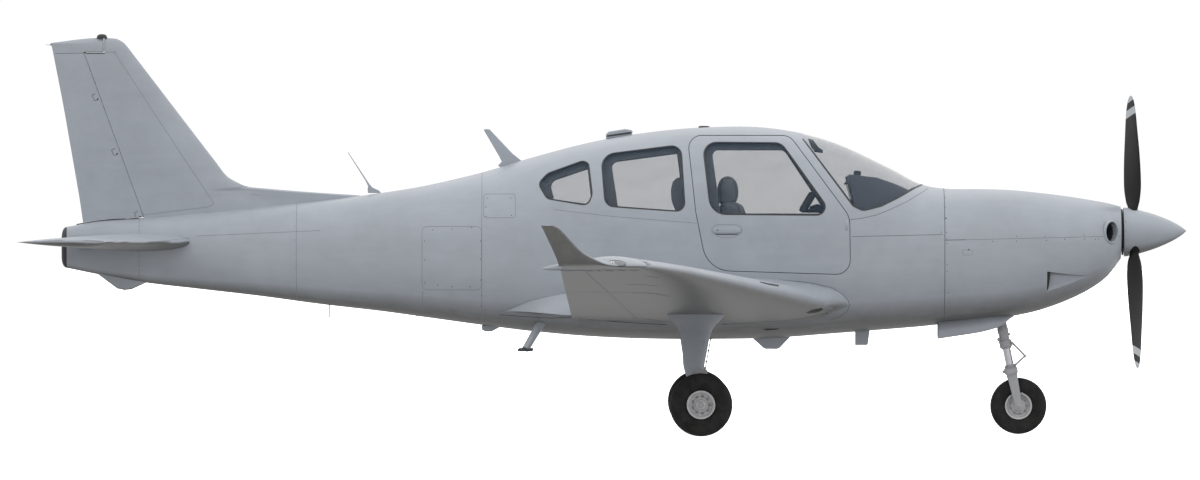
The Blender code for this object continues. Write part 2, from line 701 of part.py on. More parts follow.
def rudder_space(name, grow):
    """What lies behind the rudder's leaning hinge, with a round front, and its horn."""
    along = (FIN_HINGE_TOP - FIN_HINGE_BOTTOM).normalized()
    ahead = Vector((along.z, 0, -along.x))
    side = Vector((0, 1, 0))
    outline = round_front(RUDDER_NOSE_R + grow)
    outline += [(0, -0.3), (-0.8, -0.3), (-0.8, 0.3), (0, 0.3)]
    rings = []
    for reach in (-0.4, 1.6):
        centre = FIN_HINGE_BOTTOM + along * reach
        rings.append([centre + ahead * a + side * b for a, b in outline])
    space = loft(name, rings)
    low = RUDDER_HORN_Z - grow * 1.6
    horn = box(name + "_horn", (-4.3, -0.3, low), (RUDDER_HORN_X + grow * 1.6, 0.3, 3.2))
    return join(space, horn)


def fin():
    fixed = fin_solid("fin")
    cut(fixed, hull("fin_root", TAIL_X - 0.2, -1.2, -CUT_GAP))
    boolean(fixed, "DIFFERENCE", rudder_space("rudder_bay", CLEAR), solver="MANIFOLD")
    moving = fin_solid("rudder")
    keep(moving, rudder_space("rudder_shape", 0.0))
    cut(moving, hull("rudder_root", TAIL_X - 0.2, -1.2, -0.008))
    along = (FIN_HINGE_TOP - FIN_HINGE_BOTTOM).normalized()
    low = FIN_HINGE_BOTTOM - along * 0.05
    join(moving, rod("rudder_pin", low, FIN_HINGE_BOTTOM + along * 0.05, PIN_R, None, 12))
    boom = bpy.data.objects["tail_boom"]
    high = FIN_HINGE_BOTTOM + along * 0.06
    cut(boom, rod("rudder_hole", low - along * 0.002, high, PIN_R + CUT_GAP, None, 12))
    turned(
        "beacon",
        (-3.616, 0, 2.8505),
        (-3.616, 0, 3.0),
        [(0, 0.038), (0.012, 0.038), (0.022, 0.030), (0.029, 0.012)],
        DARK,
        16,
    )


def revolved(name, centre, profile, mat, sides=24, smooth=35):
    """A ring about the Y axis through centre; profile is a closed loop of (distance along Y, radius)."""
    bm = bmesh.new()
    rows = []
    for i in range(sides):
        angle = 2 * math.pi * i / sides
        c, s = math.cos(angle), math.sin(angle)
        rows.append([bm.verts.new((centre[0] + r * c, centre[1] + a, centre[2] + r * s)) for a, r in profile])
    count = len(profile)
    for i in range(sides):
        first, second = rows[i], rows[(i + 1) % sides]
        for k in range(count):
            j = (k + 1) % count
            bm.faces.new((first[k], first[j], second[j], second[k]))
    return node_from(name, bm, mat, smooth)


def tyre_profile(radius, width, rim):
    """Half an outline from the bead to the tread, mirrored."""
    half = width / 2
    side = [
        (0.66 * half, rim),
        (0.80 * half, rim + 0.12 * (radius - rim)),
        (0.97 * half, rim + 0.40 * (radius - rim)),
        (1.00 * half, rim + 0.62 * (radius - rim)),
        (0.84 * half, rim + 0.88 * (radius - rim)),
        (0.42 * half, radius - 0.003),
    ]
    return side + [(0, radius)] + [(-a, r) for a, r in reversed(side)]


def hub_profile(rim, width, bore):
    half = width / 2
    side = [
        (half, bore),
        (half, 0.034),
        (0.45 * half, 0.046),
        (0.45 * half, 0.72 * rim),
        (0.92 * half, 0.86 * rim),
        (0.92 * half, rim),
    ]
    return side + [(-a, r) for a, r in reversed(side)]


def wheel(label, centre, radius, width, rim):
    revolved("hub_" + label, centre, hub_profile(rim, width * 0.8, AXLE_R + CUT_GAP), STEEL)
    revolved("tyre_" + label, centre, tyre_profile(radius, width, rim + GAP), RUBBER)


# Main leg stations: height, front x, rear x, y, half thickness
LEG = [
    (0.930, 0.865, 0.430, 1.125, 0.066),
    (0.850, 0.835, 0.458, 1.148, 0.052),
    (0.759, 0.771, 0.529, 1.178, 0.036),
    (0.587, 0.730, 0.567, 1.236, 0.028),
    (0.460, 0.710, 0.580, 1.277, 0.024),
    (0.300, 0.715, 0.640, 1.315, 0.021),
    (0.195, 0.712, 0.664, 1.325, 0.018),
]


def main_gear():
    for side, label in ((-1, "right"), (1, "left")):
        rings = []
        for z, front, rear, y, half in LEG:
            chord = front - rear
            rings.append(section_ring(
                lambda x, h: Vector((front - chord * x, side * y + chord * h, z)), 2 * half / chord, 7
            ))
        leg = loft("main_leg_" + label, rings, PAINT)
        under = []
        for s in (0.8, 1.5):
            under.append(section_ring(lambda x, h, s=s: wing_point(side, s, x, h) - Vector((0, 0, CUT_GAP))))
        cut(leg, loft("leg_top_" + label, under))
        axle = (MAIN_X, side * MAIN_TRACK_HALF, MAIN_TYRE_R)
        inner, outer = (MAIN_X, side * 1.315, MAIN_TYRE_R), (MAIN_X, side * 1.525, MAIN_TYRE_R)
        join(leg, rod("axle_" + label, inner, outer, AXLE_R))
        low, high = sorted((side * 1.262, side * 1.342))
        join(leg, box("bracket_" + label, (0.640, low, 0.441), (0.735, high, 0.473)))
        low, high = sorted((side * 1.317, side * 1.341))
        pad = box("jack_pad_" + label, (0.672, low, 0.436), (0.728, high, 0.456))
        boolean(leg, "UNION", pad, solver="MANIFOLD")
        wheel("main_" + label, axle, MAIN_TYRE_R, MAIN_TYRE_WIDTH, 0.102)


def nose_gear():
    axle = Vector((NOSE_X, 0, NOSE_TYRE_R))
    lean = Vector((-math.sin(STRUT_LEAN), 0, math.cos(STRUT_LEAN)))
    side = Vector((0, 1, 0))
    low = axle + lean * 0.420
    high = axle + lean * 1.06
    strut = rod("nose_strut", low, high, 0.037, STEEL, 24)
    cut(strut, box("strut_top", (2.0, -0.5, 1.17 - GAP), (3.5, 0.5, 1.6)))
    cut(strut, rod("strut_bore", low - lean * 0.05, low + lean * 0.16, 0.0285 + CUT_GAP, None, 24))
    for name in ("lower_cowl", "cowl_exit"):
        cut(bpy.data.objects[name], rod(name + "_strut", low, high, 0.046, None, 24))
    collar = rod("steering_collar", low + lean * 0.015, low + lean * 0.060, 0.046, STEEL, 24)
    cut(collar, rod("collar_bore", low - lean * 0.05, low + lean * 0.2, 0.037 + CUT_GAP, None, 24))

    ahead = Vector((math.cos(STRUT_LEAN), 0, math.sin(STRUT_LEAN)))
    head = axle + lean * 0.242
    fork = rod("nose_fork", head, low + lean * 0.12, 0.0285, STEEL, 24)
    yoke = []
    for reach, front, rear, half in ((-0.006, 0.048, -0.048, 0.103), (0.044, 0.044, -0.050, 0.100)):
        centre = head + lean * reach
        corners = (front, -half), (front, half), (rear, half), (rear, -half)
        yoke.append([centre + ahead * a + side * b for a, b in corners])
    boolean(fork, "UNION", loft("yoke", yoke), solver="MANIFOLD")
    for hand in (-1, 1):
        leg = []
        for reach, half in ((0.280, 0.040), (0.10, 0.032), (-0.010, 0.028), (-0.026, 0.014)):
            centre = axle + lean * reach + side * hand * 0.087
            corners = (half, -0.0105), (half, 0.0105), (-half, 0.0105), (-half, -0.0105)
            leg.append([centre + ahead * a + side * b for a, b in corners])
        boolean(fork, "UNION", loft("fork_leg", leg), solver="MANIFOLD")
    nose_axle = rod("nose_axle", axle - side * 0.108, axle + side * 0.108, AXLE_R)
    boolean(fork, "UNION", nose_axle, solver="MANIFOLD")
    lug = head - ahead * 0.053 + lean * 0.019
    tow_lug = rod("tow_lug", lug - side * 0.05, lug + side * 0.05, 0.011, None, 12)
    boolean(fork, "UNION", tow_lug, solver="MANIFOLD")

    # torque links, as one bent bar on the strut's front
    collar_front = low + lean * 0.038 + ahead * 0.0505
    apex = low + ahead * 0.120 - lean * 0.078
    foot = head + lean * (0.056 + GAP) + ahead * 0.036
    for start, end in ((collar_front, apex), (apex, foot)):
        join(collar, rod("torque_link", start, end, 0.011, None, 10))
    wheel("nose", axle, NOSE_TYRE_R, NOSE_TYRE_WIDTH, 0.0975)


# Blade stations: radius, chord, thickness
BLADE_STATIONS = [
    (0.060, 0.066, 0.064),
    (0.165, 0.070, 0.060),
    (0.230, 0.118, 0.040),
    (0.350, 0.176, 0.026),
    (0.560, 0.216, 0.018),
    (0.740, 0.212, 0.013),
    (0.885, 0.190, 0.010),
    (0.960, 0.140, 0.008),
    (1.010, 0.056, 0.005),
]
BLADE_ADVANCE = 0.318


def blade(name, hub, axis, up, mat=None):
    across = axis.cross(up)
    rings = []
    for radius, chord, thick in BLADE_STATIONS:
        pitch = math.atan(BLADE_ADVANCE / max(radius, 0.2))
        chordwise = axis * math.sin(pitch) + across * math.cos(pitch)
        normal = axis * math.cos(pitch) - across * math.sin(pitch)
        ring = []
        for k in range(12):
            angle = 2 * math.pi * k / 12
            offset = chordwise * chord / 2 * math.cos(angle) + normal * thick / 2 * math.sin(angle)
            ring.append(hub + up * radius + offset)
        rings.append(ring)
    return loft(name, rings, mat, 60)


SPINNER_PROFILE = [
    (0.0, 0.176),
    (0.030, 0.174),
    (0.114, 0.156),
    (0.228, 0.122),
    (0.345, 0.073),
    (0.418, 0.030),
    (0.4495, 0.004),
]


def propeller():
    axis = Vector((math.cos(THRUST_TILT), 0, math.sin(THRUST_TILT)))
    hub = Vector((PROP_X, 0, THRUST_Z))
    up = Vector((-axis.z, 0, axis.x))
    up.rotate(Matrix.Rotation(BLADE_TURN, 3, axis))
    base = hub - axis * (PROP_X - SPINNER_BASE_X)
    spinner = turned("spinner", base, base + axis, SPINNER_PROFILE, PAINT, 24)
    inner = [(SPINNER_BACK_PLATE, SPINNER_PROFILE[1][1] - 0.006)]
    inner += [(a - 0.006, r - 0.007) for a, r in SPINNER_PROFILE[2:-1]]
    cut(spinner, turned("spinner_hollow", base, base + axis, inner, None, 24))
    cut(spinner, rod("spinner_bore", base - axis * 0.05, base + axis * 0.05, SHAFT_RADIUS + 0.004, None, 16))
    plate_face = base + axis * (SPINNER_BACK_PLATE + GAP)
    blades = rod("propeller", plate_face, hub + axis * 0.075, 0.072, BLADE, 24)
    cut(blades, rod("hub_bore", hub - axis * 0.1, hub + axis * 0.03, SHAFT_RADIUS + CUT_GAP, None, 24))
    for hand in (-1, 1):
        join(blades, blade("blade", hub, axis, up * hand))
        cut(spinner, rod("blade_hole", hub + up * hand * 0.08, hub + up * hand * 0.25, 0.046, None, 14))


def slab(name, outline, half, mat=PAINT, y=0.0):
    return prism(name, outline, y - half, y + half, mat)


# Blades and fairings on the fuselage: half width, then the outline in side view
BLADES = {
    "roof_blade_antenna": (0.011, [
        (-0.868, 2.193), (-0.822, 2.193), (-0.604, 1.975), (-0.560, 1.940), (-0.720, 1.900), (-0.765, 1.930),
    ]),
    "whip_antenna": (0.006, [
        (-1.846, 2.026), (-1.840, 2.029), (-1.675, 1.765), (-1.600, 1.752), (-1.600, 1.700), (-1.700, 1.700),
    ]),
    "roof_antenna": (0.045, [
        (0.012, 2.170), (0.160, 2.195), (0.205, 2.186), (0.205, 2.100), (0.012, 2.100),
    ]),
    "belly_blade_antenna": (0.012, [
        (1.061, 0.72), (1.061, 0.694), (1.158, 0.612), (1.254, 0.612), (1.337, 0.694), (1.337, 0.72),
    ]),
    "forward_belly_antenna": (0.010, [
        (1.800, 0.78), (1.800, 0.645), (1.710, 0.643), (1.710, 0.638), (1.895, 0.638), (1.915, 0.78),
    ]),
    "tail_tie_down": (0.030, [
        (-3.650, 1.20), (-3.640, 1.145), (-3.501, 1.040), (-3.405, 1.040), (-3.290, 1.092), (-3.270, 1.20),
    ]),
}


def small_parts():
    """Antennas, the tie-down's fairing and the boarding steps."""
    for name, (half, outline) in BLADES.items():
        made = slab(name, outline, half, DARK if name == "whip_antenna" else PAINT)
        xs = [x for x, z in outline]
        cut(made, hull(name + "_foot", min(xs) - 0.2, max(xs) + 0.2, -CUT_GAP))
    for side, label in ((-1, "right"), (1, "left")):
        top = Vector((-0.455, side * 0.30, 0.80))
        foot = Vector((-0.565, side * 0.42, 0.612))
        step = rod("boarding_step_" + label, top, foot, 0.022, STEEL, 12)
        low, high = sorted((foot.y - 0.05 * side, foot.y + 0.07 * side))
        join(step, box("step_pad_" + label, (-0.615, low, 0.598), (-0.515, high, 0.618)))
        cut(step, hull("step_foot_" + label, -1.2, 0.3, -CUT_GAP))


# Seat outline in side view, from its own hip point: cushion, back and headrest
SEAT = [
    (0.42, 0.10),
    (0.44, 0.19),
    (0.40, 0.24),
    (0.02, 0.20),
    (-0.16, 0.66),
    (-0.13, 0.74),
    (-0.15, 0.86),
    (-0.20, 0.90),
    (-0.27, 0.88),
    (-0.28, 0.70),
    (-0.12, 0.12),
    (-0.05, 0.05),
    (0.30, 0.05),
]
FLOOR_TOP = 0.905
SEAT_X = 1.085
SEAT_Y = 0.29
BENCH_X = 0.10


def interior():
    foot, foot_top = FLOOR_TOP + GAP, FLOOR_TOP + 0.13
    x = SEAT_X
    for label, y in (("right", -SEAT_Y), ("left", SEAT_Y)):
        outline = [(x + a, FLOOR_TOP + 0.06 + b) for a, b in SEAT]
        seat = slab("seat_front_" + label, outline, 0.22, FABRIC, y)
        join(seat, box("seat_base_" + label, (x - 0.02, y - 0.18, foot), (x + 0.28, y + 0.18, foot_top)))
    outline = [(BENCH_X + a * 0.9, FLOOR_TOP + 0.06 + b * 0.9) for a, b in SEAT]
    bench = slab("seat_rear", outline, 0.50, FABRIC)
    keep(bench, hull("bench_bounds", CABIN_REAR_X, FIREWALL_X, CABIN_WALL + 0.012))
    join(bench, box("seat_rear_base", (0.08, -0.36, foot), (0.34, 0.36, foot_top)))
    outline = [
        (1.740, 1.850), (1.765, 1.868), (1.960, 1.845), (2.090, 1.800), (2.180, 1.760),
        (2.180, 1.560), (1.900, 1.330), (1.845, 1.340), (1.800, 1.640),
    ]
    panel = slab("instrument_panel", outline, 0.8, DARK)
    keep(panel, hull("panel_bounds", CABIN_REAR_X, FIREWALL_X, CABIN_WALL + CUT_GAP))
    join(panel, box("centre_console", (1.62, -0.075, FLOOR_TOP + GAP), (2.10, 0.075, 1.45)))


def on_axis(name, start, end, *pieces):
    """An empty on a joint's axis, with its Z along it, that carries what turns there."""
    pivot = bpy.data.objects.new(name, None)
    pivot.empty_display_size = 0.1
    pivot.matrix_world = frame_of(start, end)
    bpy.context.collection.objects.link(pivot)
    for piece in pieces:
        child = bpy.data.objects[piece]
        child.parent = pivot
        child.matrix_parent_inverse = pivot.matrix_world.inverted()


def axes():
    """The axis of each thing that turns."""
    across = Vector((0, 1, 0))
    hub = Vector((PROP_X, 0, THRUST_Z))
    thrust = Vector((math.cos(THRUST_TILT), 0, math.sin(THRUST_TILT)))
    on_axis("propeller_axis", hub, hub + thrust, "propeller", "spinner")
    nose_axle = Vector((NOSE_X, 0, NOSE_TYRE_R))
    lean = Vector((-math.sin(STRUT_LEAN), 0, math.cos(STRUT_LEAN)))
    on_axis("steering_axis", nose_axle, nose_axle + lean, "nose_fork", "steering_collar")
    on_axis("nose_axle", nose_axle, nose_axle + across, "hub_nose", "tyre_nose")
    elevator = Vector((ELEVATOR_HINGE_X, 0, STAB_Z))
    on_axis("elevator_axis", elevator, elevator + across, "elevator")
    on_axis("rudder_axis", FIN_HINGE_BOTTOM, FIN_HINGE_TOP, "rudder")
    for side, label in ((-1, "right"), (1, "left")):
        axle = Vector((MAIN_X, side * MAIN_TRACK_HALF, MAIN_TYRE_R))
        on_axis("main_axle_" + label, axle, axle + across, "hub_main_" + label, "tyre_main_" + label)
        low, high = (Vector((p.x, p.y * side, p.z)) for p in DOOR_AXIS)
        on_axis("door_axis_" + label, low, high, "door_" + label, "door_window_" + label)
        on_axis("flap_axis_" + label, *hinge_ends(side, FLAP_SPAN), "flap_" + label)
        on_axis("aileron_axis_" + label, *hinge_ends(side, AILERON_SPAN), "aileron_" + label)


fuselage()
cowl()
wings()
tailplane()
fin()
main_gear()
nose_gear()
propeller()
small_parts()
interior()
axes()
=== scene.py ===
import bisect
import json
import math
import random

import bmesh
import bpy
from mathutils import Matrix, Vector
from mathutils.bvhtree import BVHTree
from mathutils.interpolate import poly_3d_calc

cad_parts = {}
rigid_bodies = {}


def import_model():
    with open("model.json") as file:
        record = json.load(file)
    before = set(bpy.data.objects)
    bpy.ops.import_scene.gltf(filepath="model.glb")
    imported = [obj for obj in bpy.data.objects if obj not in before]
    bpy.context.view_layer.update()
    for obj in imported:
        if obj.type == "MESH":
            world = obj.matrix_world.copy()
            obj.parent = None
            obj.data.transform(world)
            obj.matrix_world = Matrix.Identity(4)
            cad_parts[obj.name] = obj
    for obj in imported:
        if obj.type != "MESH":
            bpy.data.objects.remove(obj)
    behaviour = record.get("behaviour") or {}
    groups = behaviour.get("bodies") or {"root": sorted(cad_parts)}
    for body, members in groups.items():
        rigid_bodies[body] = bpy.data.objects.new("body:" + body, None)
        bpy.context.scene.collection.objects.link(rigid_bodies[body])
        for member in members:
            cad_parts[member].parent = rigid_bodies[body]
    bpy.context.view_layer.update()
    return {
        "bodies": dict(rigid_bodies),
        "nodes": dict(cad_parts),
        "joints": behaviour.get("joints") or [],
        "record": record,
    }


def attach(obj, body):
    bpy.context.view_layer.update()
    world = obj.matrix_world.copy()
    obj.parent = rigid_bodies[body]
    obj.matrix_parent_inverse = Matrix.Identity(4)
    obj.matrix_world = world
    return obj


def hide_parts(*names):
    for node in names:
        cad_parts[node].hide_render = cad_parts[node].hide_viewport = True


# Single-engine light aircraft. Metres, nose along +X, aircraft's left along +Y, ground at Z = 0.

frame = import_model()
print("frame loaded,", len(frame["nodes"]), "nodes")

# The photograph is taken level, square to the aircraft's right side.
view = {
    "metresPerPixel": 0.0072,
    "pixelsAcross": 1200,
    "pixelsDown": 480,
    "distance": 120.0,
    "centre": (-0.030, 1.397),
    "sensor": 36.0,
}
camera = bpy.data.cameras.new("camera")
camera.sensor_width = view["sensor"]
camera.lens = view["sensor"] * view["distance"] / (view["metresPerPixel"] * view["pixelsAcross"])
camera.clip_end = 1500
cameraObject = bpy.data.objects.new("camera", camera)
cameraObject.location = (view["centre"][0], -view["distance"], view["centre"][1])
cameraObject.rotation_euler = (math.radians(90), 0, 0)
bpy.context.scene.collection.objects.link(cameraObject)
bpy.context.scene.camera = cameraObject


class Wire:
    # one output of a material's nodes, with arithmetic that adds Math nodes
    def __init__(self, finish, socket):
        self.finish = finish
        self.socket = socket

    def __add__(self, other):
        return self.finish.math("ADD", self, other)

    def __radd__(self, other):
        return self.finish.math("ADD", other, self)

    def __sub__(self, other):
        return self.finish.math("SUBTRACT", self, other)

    def __rsub__(self, other):
        return self.finish.math("SUBTRACT", other, self)

    def __mul__(self, other):
        return self.finish.math("MULTIPLY", self, other)

    def __rmul__(self, other):
        return self.finish.math("MULTIPLY", other, self)

    def __abs__(self):
        return self.finish.math("ABSOLUTE", self)


class Finish:
    # one material: constants go on the shader's own sockets, nodes are added by node()
    def __init__(self, name, constants):
        self.material = bpy.data.materials.new(name)
        self.material.use_nodes = True
        self.tree = self.material.node_tree
        self.shader = self.tree.nodes["Principled BSDF"]
        for socket, value in constants.items():
            self.shader.inputs[socket].default_value = (*value, 1) if isinstance(value, tuple) else value

    def node(self, kind, settings=None, inputs=None, output=0):
        made = self.tree.nodes.new(kind)
        for key, value in (settings or {}).items():
            if key == "stops":
                self.fillRamp(made.color_ramp, value)
            else:
                setattr(made, key, value)
        for key, value in (inputs or {}).items():
            if isinstance(value, Wire):
                self.tree.links.new(value.socket, made.inputs[key])
            else:
                made.inputs[key].default_value = value
        return Wire(self, made.outputs[output])

    def fillRamp(self, ramp, stops):
        ramp.elements.remove(ramp.elements[1])
        for i, (position, level) in enumerate(stops):
            element = ramp.elements.new(position) if i else ramp.elements[0]
            element.position = position
            element.color = (level, level, level, 1)

    def math(self, operation, first, second):
        return self.node("ShaderNodeMath", {"operation": operation}, {0: first, 1: second})

    def mix(self, factor, first, second):
        return self.node("ShaderNodeMix", {"data_type": "RGBA"}, {0: factor, 6: first, 7: second}, 2)

    def place(self):
        return self.node("ShaderNodeTexCoord", output=3)

    def scaled(self, place, size):
        return self.node("ShaderNodeVectorMath", {"operation": "MULTIPLY"}, {0: place, 1: size})

    def noise(self, place, scale, detail=4.0, roughness=0.55):
        return self.node("ShaderNodeTexNoise", None, {
            "Vector": place, "Scale": scale, "Detail": detail, "Roughness": roughness,
        })

    def ramp(self, factor, *stops):
        return self.node("ShaderNodeValToRGB", {"stops": stops}, {0: factor})

    def attribute(self, name):
        return self.node("ShaderNodeAttribute", {"attribute_name": name}, None, 2)

    def bump(self, height, strength, distance):
        values = {"Height": height, "Strength": strength, "Distance": distance}
        self.feed("Normal", self.node("ShaderNodeBump", None, values))

    def feed(self, socket, wire):
        self.tree.links.new(wire.socket, self.shader.inputs[socket])


def shade(color, factor):
    return (*[channel * factor for channel in color], 1)


def paintFinish(name, color, grimeAndShadeColor, roughness=0.42):
    finish = Finish(name, {"Coat Weight": 0.12, "Coat Roughness": 0.25, "Specular IOR Level": 0.42})
    place = finish.place()
    cloud = finish.noise(place, 1.7, 3.0)
    mottle = finish.noise(place, 9.0, 5.0, 0.6)
    grain = finish.noise(place, 160.0, 2.0)
    streak = finish.noise(finish.scaled(place, (1.2, 16, 16)), 1.4, 4.0)
    tone = cloud * 0.5 + mottle * 0.3 + streak * 0.2
    clean = finish.mix(finish.ramp(tone, (0.38, 0.0), (0.62, 1.0)), shade(color, 0.93), shade(color, 1.06))
    # darker where a surface faces the ground: partly dirt, partly painted shade under the aircraft and its
    # parts
    under = finish.attribute("grime")
    dirtAndShade = finish.ramp(under * (0.75 + 0.5 * streak), (0.08, 0.0), (0.85, 1.0))
    patches = finish.ramp(mottle, (0.3, 0.0), (0.7, 1.0))
    soiledAndShaded = finish.mix(patches, shade(grimeAndShadeColor, 0.82), shade(grimeAndShadeColor, 1.1))
    finish.feed("Base Color", finish.mix(dirtAndShade, clean, soiledAndShaded))
    finish.feed("Roughness", roughness + 0.12 * mottle - 0.05)
    finish.bump(grain * 0.6 + mottle * 0.4, 0.08, 0.001)
    return finish.material


def plainFinish(
    name, color, roughness, spread=0.12, scale=40.0, metallic=0.0, bump=0.1, depth=0.001, shine=0.5,
):
    finish = Finish(name, {"Metallic": metallic, "Specular IOR Level": shine})
    place = finish.place()
    coarse = finish.noise(place, scale, 5.0, 0.6)
    fine = finish.noise(place, scale * 9, 3.0)
    finish.feed("Base Color", finish.mix(coarse, shade(color, 1 - spread), shade(color, 1 + spread)))
    finish.feed("Roughness", (roughness - 0.08) + 0.16 * coarse)
    finish.bump(coarse * 0.5 + fine * 0.5, bump, depth)
    return finish.material


def glassFinish(name, color, alpha):
    finish = Finish(name, {"Base Color": color, "Specular IOR Level": 0.5})
    smear = finish.noise(finish.scaled(finish.place(), (2, 2, 5)), 2.2, 5.0, 0.6)
    finish.feed("Alpha", (alpha - 0.03) + 0.06 * smear)
    finish.feed("Roughness", 0.02 + 0.07 * smear)
    return finish.material


def rubberFinish(name):
    finish = Finish(name, {"Specular IOR Level": 0.18})
    place = finish.place()
    dust = finish.noise(place, 14.0, 6.0, 0.7)
    fine = finish.noise(place, 320.0, 3.0)
    dusty = finish.ramp(dust, (0.35, 0.0), (0.75, 1.0))
    finish.feed("Base Color", finish.mix(dusty, (0.010, 0.010, 0.010, 1), (0.034, 0.033, 0.032, 1)))
    finish.feed("Roughness", 0.62 + 0.25 * dust)
    finish.bump(fine, 0.15, 0.0008)
    return finish.material


def weaveFinish(name, color):
    finish = Finish(name, {"Sheen Weight": 0.25})
    place = finish.place()
    patch = finish.noise(place, 6.0, 4.0)
    across = finish.node("ShaderNodeTexWave", {"bands_direction": "Y"}, {"Vector": place, "Scale": 190.0})
    along = finish.node("ShaderNodeTexWave", {"bands_direction": "Z"}, {"Vector": place, "Scale": 190.0})
    thread = across * 0.5 + along * 0.5
    finish.feed("Base Color", finish.mix(patch * 0.6 + thread * 0.4, shade(color, 0.75), shade(color, 1.3)))
    finish.feed("Roughness", 0.75 + 0.15 * patch)
    finish.bump(thread, 0.3, 0.0008)
    return finish.material


paintColor = (0.335, 0.362, 0.402)
# the last colour is mixed in on surfaces facing the ground: partly dirt, partly painted shade
paint = paintFinish("satinPaint", paintColor, (0.134, 0.134, 0.131))
# near black trim; it also draws the painted shadow under the door's grip
darkTrim = plainFinish("darkTrim", (0.035, 0.036, 0.040), 0.6)
liningFinish = plainFinish("cabinLining", (0.105, 0.112, 0.124), 0.8, 0.1, 60.0, bump=0.25)
glareFinish = plainFinish("glareshieldSkin", (0.105, 0.112, 0.132), 0.75, 0.12, 140.0, bump=0.35, shine=0.3)
panelFinish = plainFinish("panelFace", (0.050, 0.053, 0.060), 0.55, 0.1, 90.0)
screenFinish = plainFinish("darkScreen", (0.008, 0.010, 0.013), 0.12, 0.1, 12.0, bump=0.0)
# also the dark blocks in the rudder's gaps, which paint the gaps' shade
sealantAndGapShade = plainFinish("windowSealant", (0.030, 0.032, 0.036), 0.5)
seamFinish = plainFinish("seamShadow", (0.105, 0.112, 0.122), 0.7)
# also the faint line of painted shadow under the stabiliser's edge
faintSeamAndShadowFinish = plainFinish("faintSeam", (0.205, 0.220, 0.242), 0.6)
# near black, for dark marks, and for painted shade in the inlets' throats, the scoop's slot and the
# fairing's inlet
markAndShadeFinish = plainFinish("darkMark", (0.022, 0.022, 0.022), 0.75)
fastenerFinish = plainFinish("fastenerHeads", (0.035, 0.036, 0.038), 0.5, 0.2, 90.0, 0.1, shine=0.3)
glass = glassFinish("clearAcrylic", (0.030, 0.065, 0.110), 0.21)
lensGlass = glassFinish("lampLens", (0.62, 0.63, 0.64), 0.45)
tyreRubber = rubberFinish("tyreRubber")
castMetal = plainFinish("castWheel", (0.50, 0.50, 0.51), 0.5, 0.2, 55.0, 0.15, 0.2)
engineMetal = plainFinish("engineCasting", (0.060, 0.060, 0.062), 0.55, 0.25, 30.0, 0.4, 0.4, 0.003)
gearPaint = plainFinish("gearPaint", (0.34, 0.342, 0.355), 0.42, 0.12, 25.0, 0.1)
polished = plainFinish("polishedPiston", (0.55, 0.56, 0.58), 0.2, 0.05, 30.0, 0.9, 0.03)
bladeBlack = plainFinish("bladeBlack", (0.015, 0.015, 0.016), 0.5, 0.15, 12.0, shine=0.15)
bladeSilver = plainFinish("bladeTipSilver", (0.42, 0.44, 0.46), 0.5, 0.1, 20.0)
seatCloth = weaveFinish("seatCloth", (0.190, 0.198, 0.218))
seatEdge = plainFinish("seatPiping", (0.100, 0.105, 0.118), 0.7, 0.15, 120.0)
carpet = plainFinish("floorCarpet", (0.05, 0.051, 0.055), 0.95, 0.3, 300.0, bump=0.6, depth=0.003)
print("finishes made")


def catmull(table, x, column):
    last = len(table) - 1
    i = min(max(bisect.bisect_right([row[0] for row in table], x) - 1, 0), last - 1)
    rows = [table[max(0, i - 1)], table[i], table[i + 1], table[min(last, i + 2)]]
    xs = [row[0] for row in rows]
    vs = [row[column] for row in rows]
    width = xs[2] - xs[1]
    t = min(1.0, max(0.0, (x - xs[1]) / width))
    slopeIn = (vs[2] - vs[0]) / (xs[2] - xs[0]) * width
    slopeOut = (vs[3] - vs[1]) / (xs[3] - xs[1]) * width
    rise = 3 * t * t - 2 * t ** 3
    blend = slopeIn * (t ** 3 - 2 * t * t + t) + slopeOut * (t ** 3 - t * t)
    return vs[1] * (1 - rise) + vs[2] * rise + blend


def spaced(start, end, step):
    count = max(1, math.ceil(abs(end - start) / step))
    return [start + (end - start) * i / count for i in range(count + 1)]


def circle(count):
    # evenly spaced angles all the way round
    return [2 * math.pi * k / count for k in range(count)]


def newPiece(name, mesh):
    piece = bpy.data.objects.new(name, mesh)
    bpy.context.scene.collection.objects.link(piece)
    return piece


def pieceOf(name, bm, finishes, smooth=35):
    mesh = bpy.data.meshes.new(name)
    bm.to_mesh(mesh)
    bm.free()
    for finish in finishes:
        mesh.materials.append(finish)
    mesh.shade_smooth()
    mesh.set_sharp_from_angle(angle=math.radians(smooth))
    return newPiece(name, mesh)


def fromBmesh(name, bm, finish, smooth=35):
    bmesh.ops.recalc_face_normals(bm, faces=bm.faces)
    if bm.calc_volume(signed=True) < 0:
        bmesh.ops.reverse_faces(bm, faces=bm.faces)
    return pieceOf(name, bm, [finish] if finish else [], smooth)


def loftInto(bm, rings, capped=True, closed=False):
    rows = [[bm.verts.new(point) for point in ring] for ring in rings]
    count = len(rings[0])
    pairs = list(zip(rows, rows[1:]))
    if closed:
        pairs.append((rows[-1], rows[0]))
    for first, second in pairs:
        for i in range(count):
            j = (i + 1) % count
            bm.faces.new((first[i], first[j], second[j], second[i]))
    if capped and not closed:
        bm.faces.new(rows[0])
        bm.faces.new(rows[-1])


def loft(name, rings, finish=None, smooth=35, closed=False):
    bm = bmesh.new()
    loftInto(bm, rings, closed=closed)
    return fromBmesh(name, bm, finish, smooth)


def prism(name, outline, low, high, finish=None):
    return loft(name, [[Vector((x, y, z)) for x, z in outline] for y in (low, high)], finish, 30)


def rectangle(left, foot, right, head):
    return [(left, foot), (right, foot), (right, head), (left, head)]


def boxRings(low, high):
    corners = rectangle(low[0], low[1], high[0], high[1])
    return [[Vector((x, y, z)) for x, y in corners] for z in (low[2], high[2])]


def box(name, low, high, finish=None):
    return loft(name, boxRings(low, high), finish)


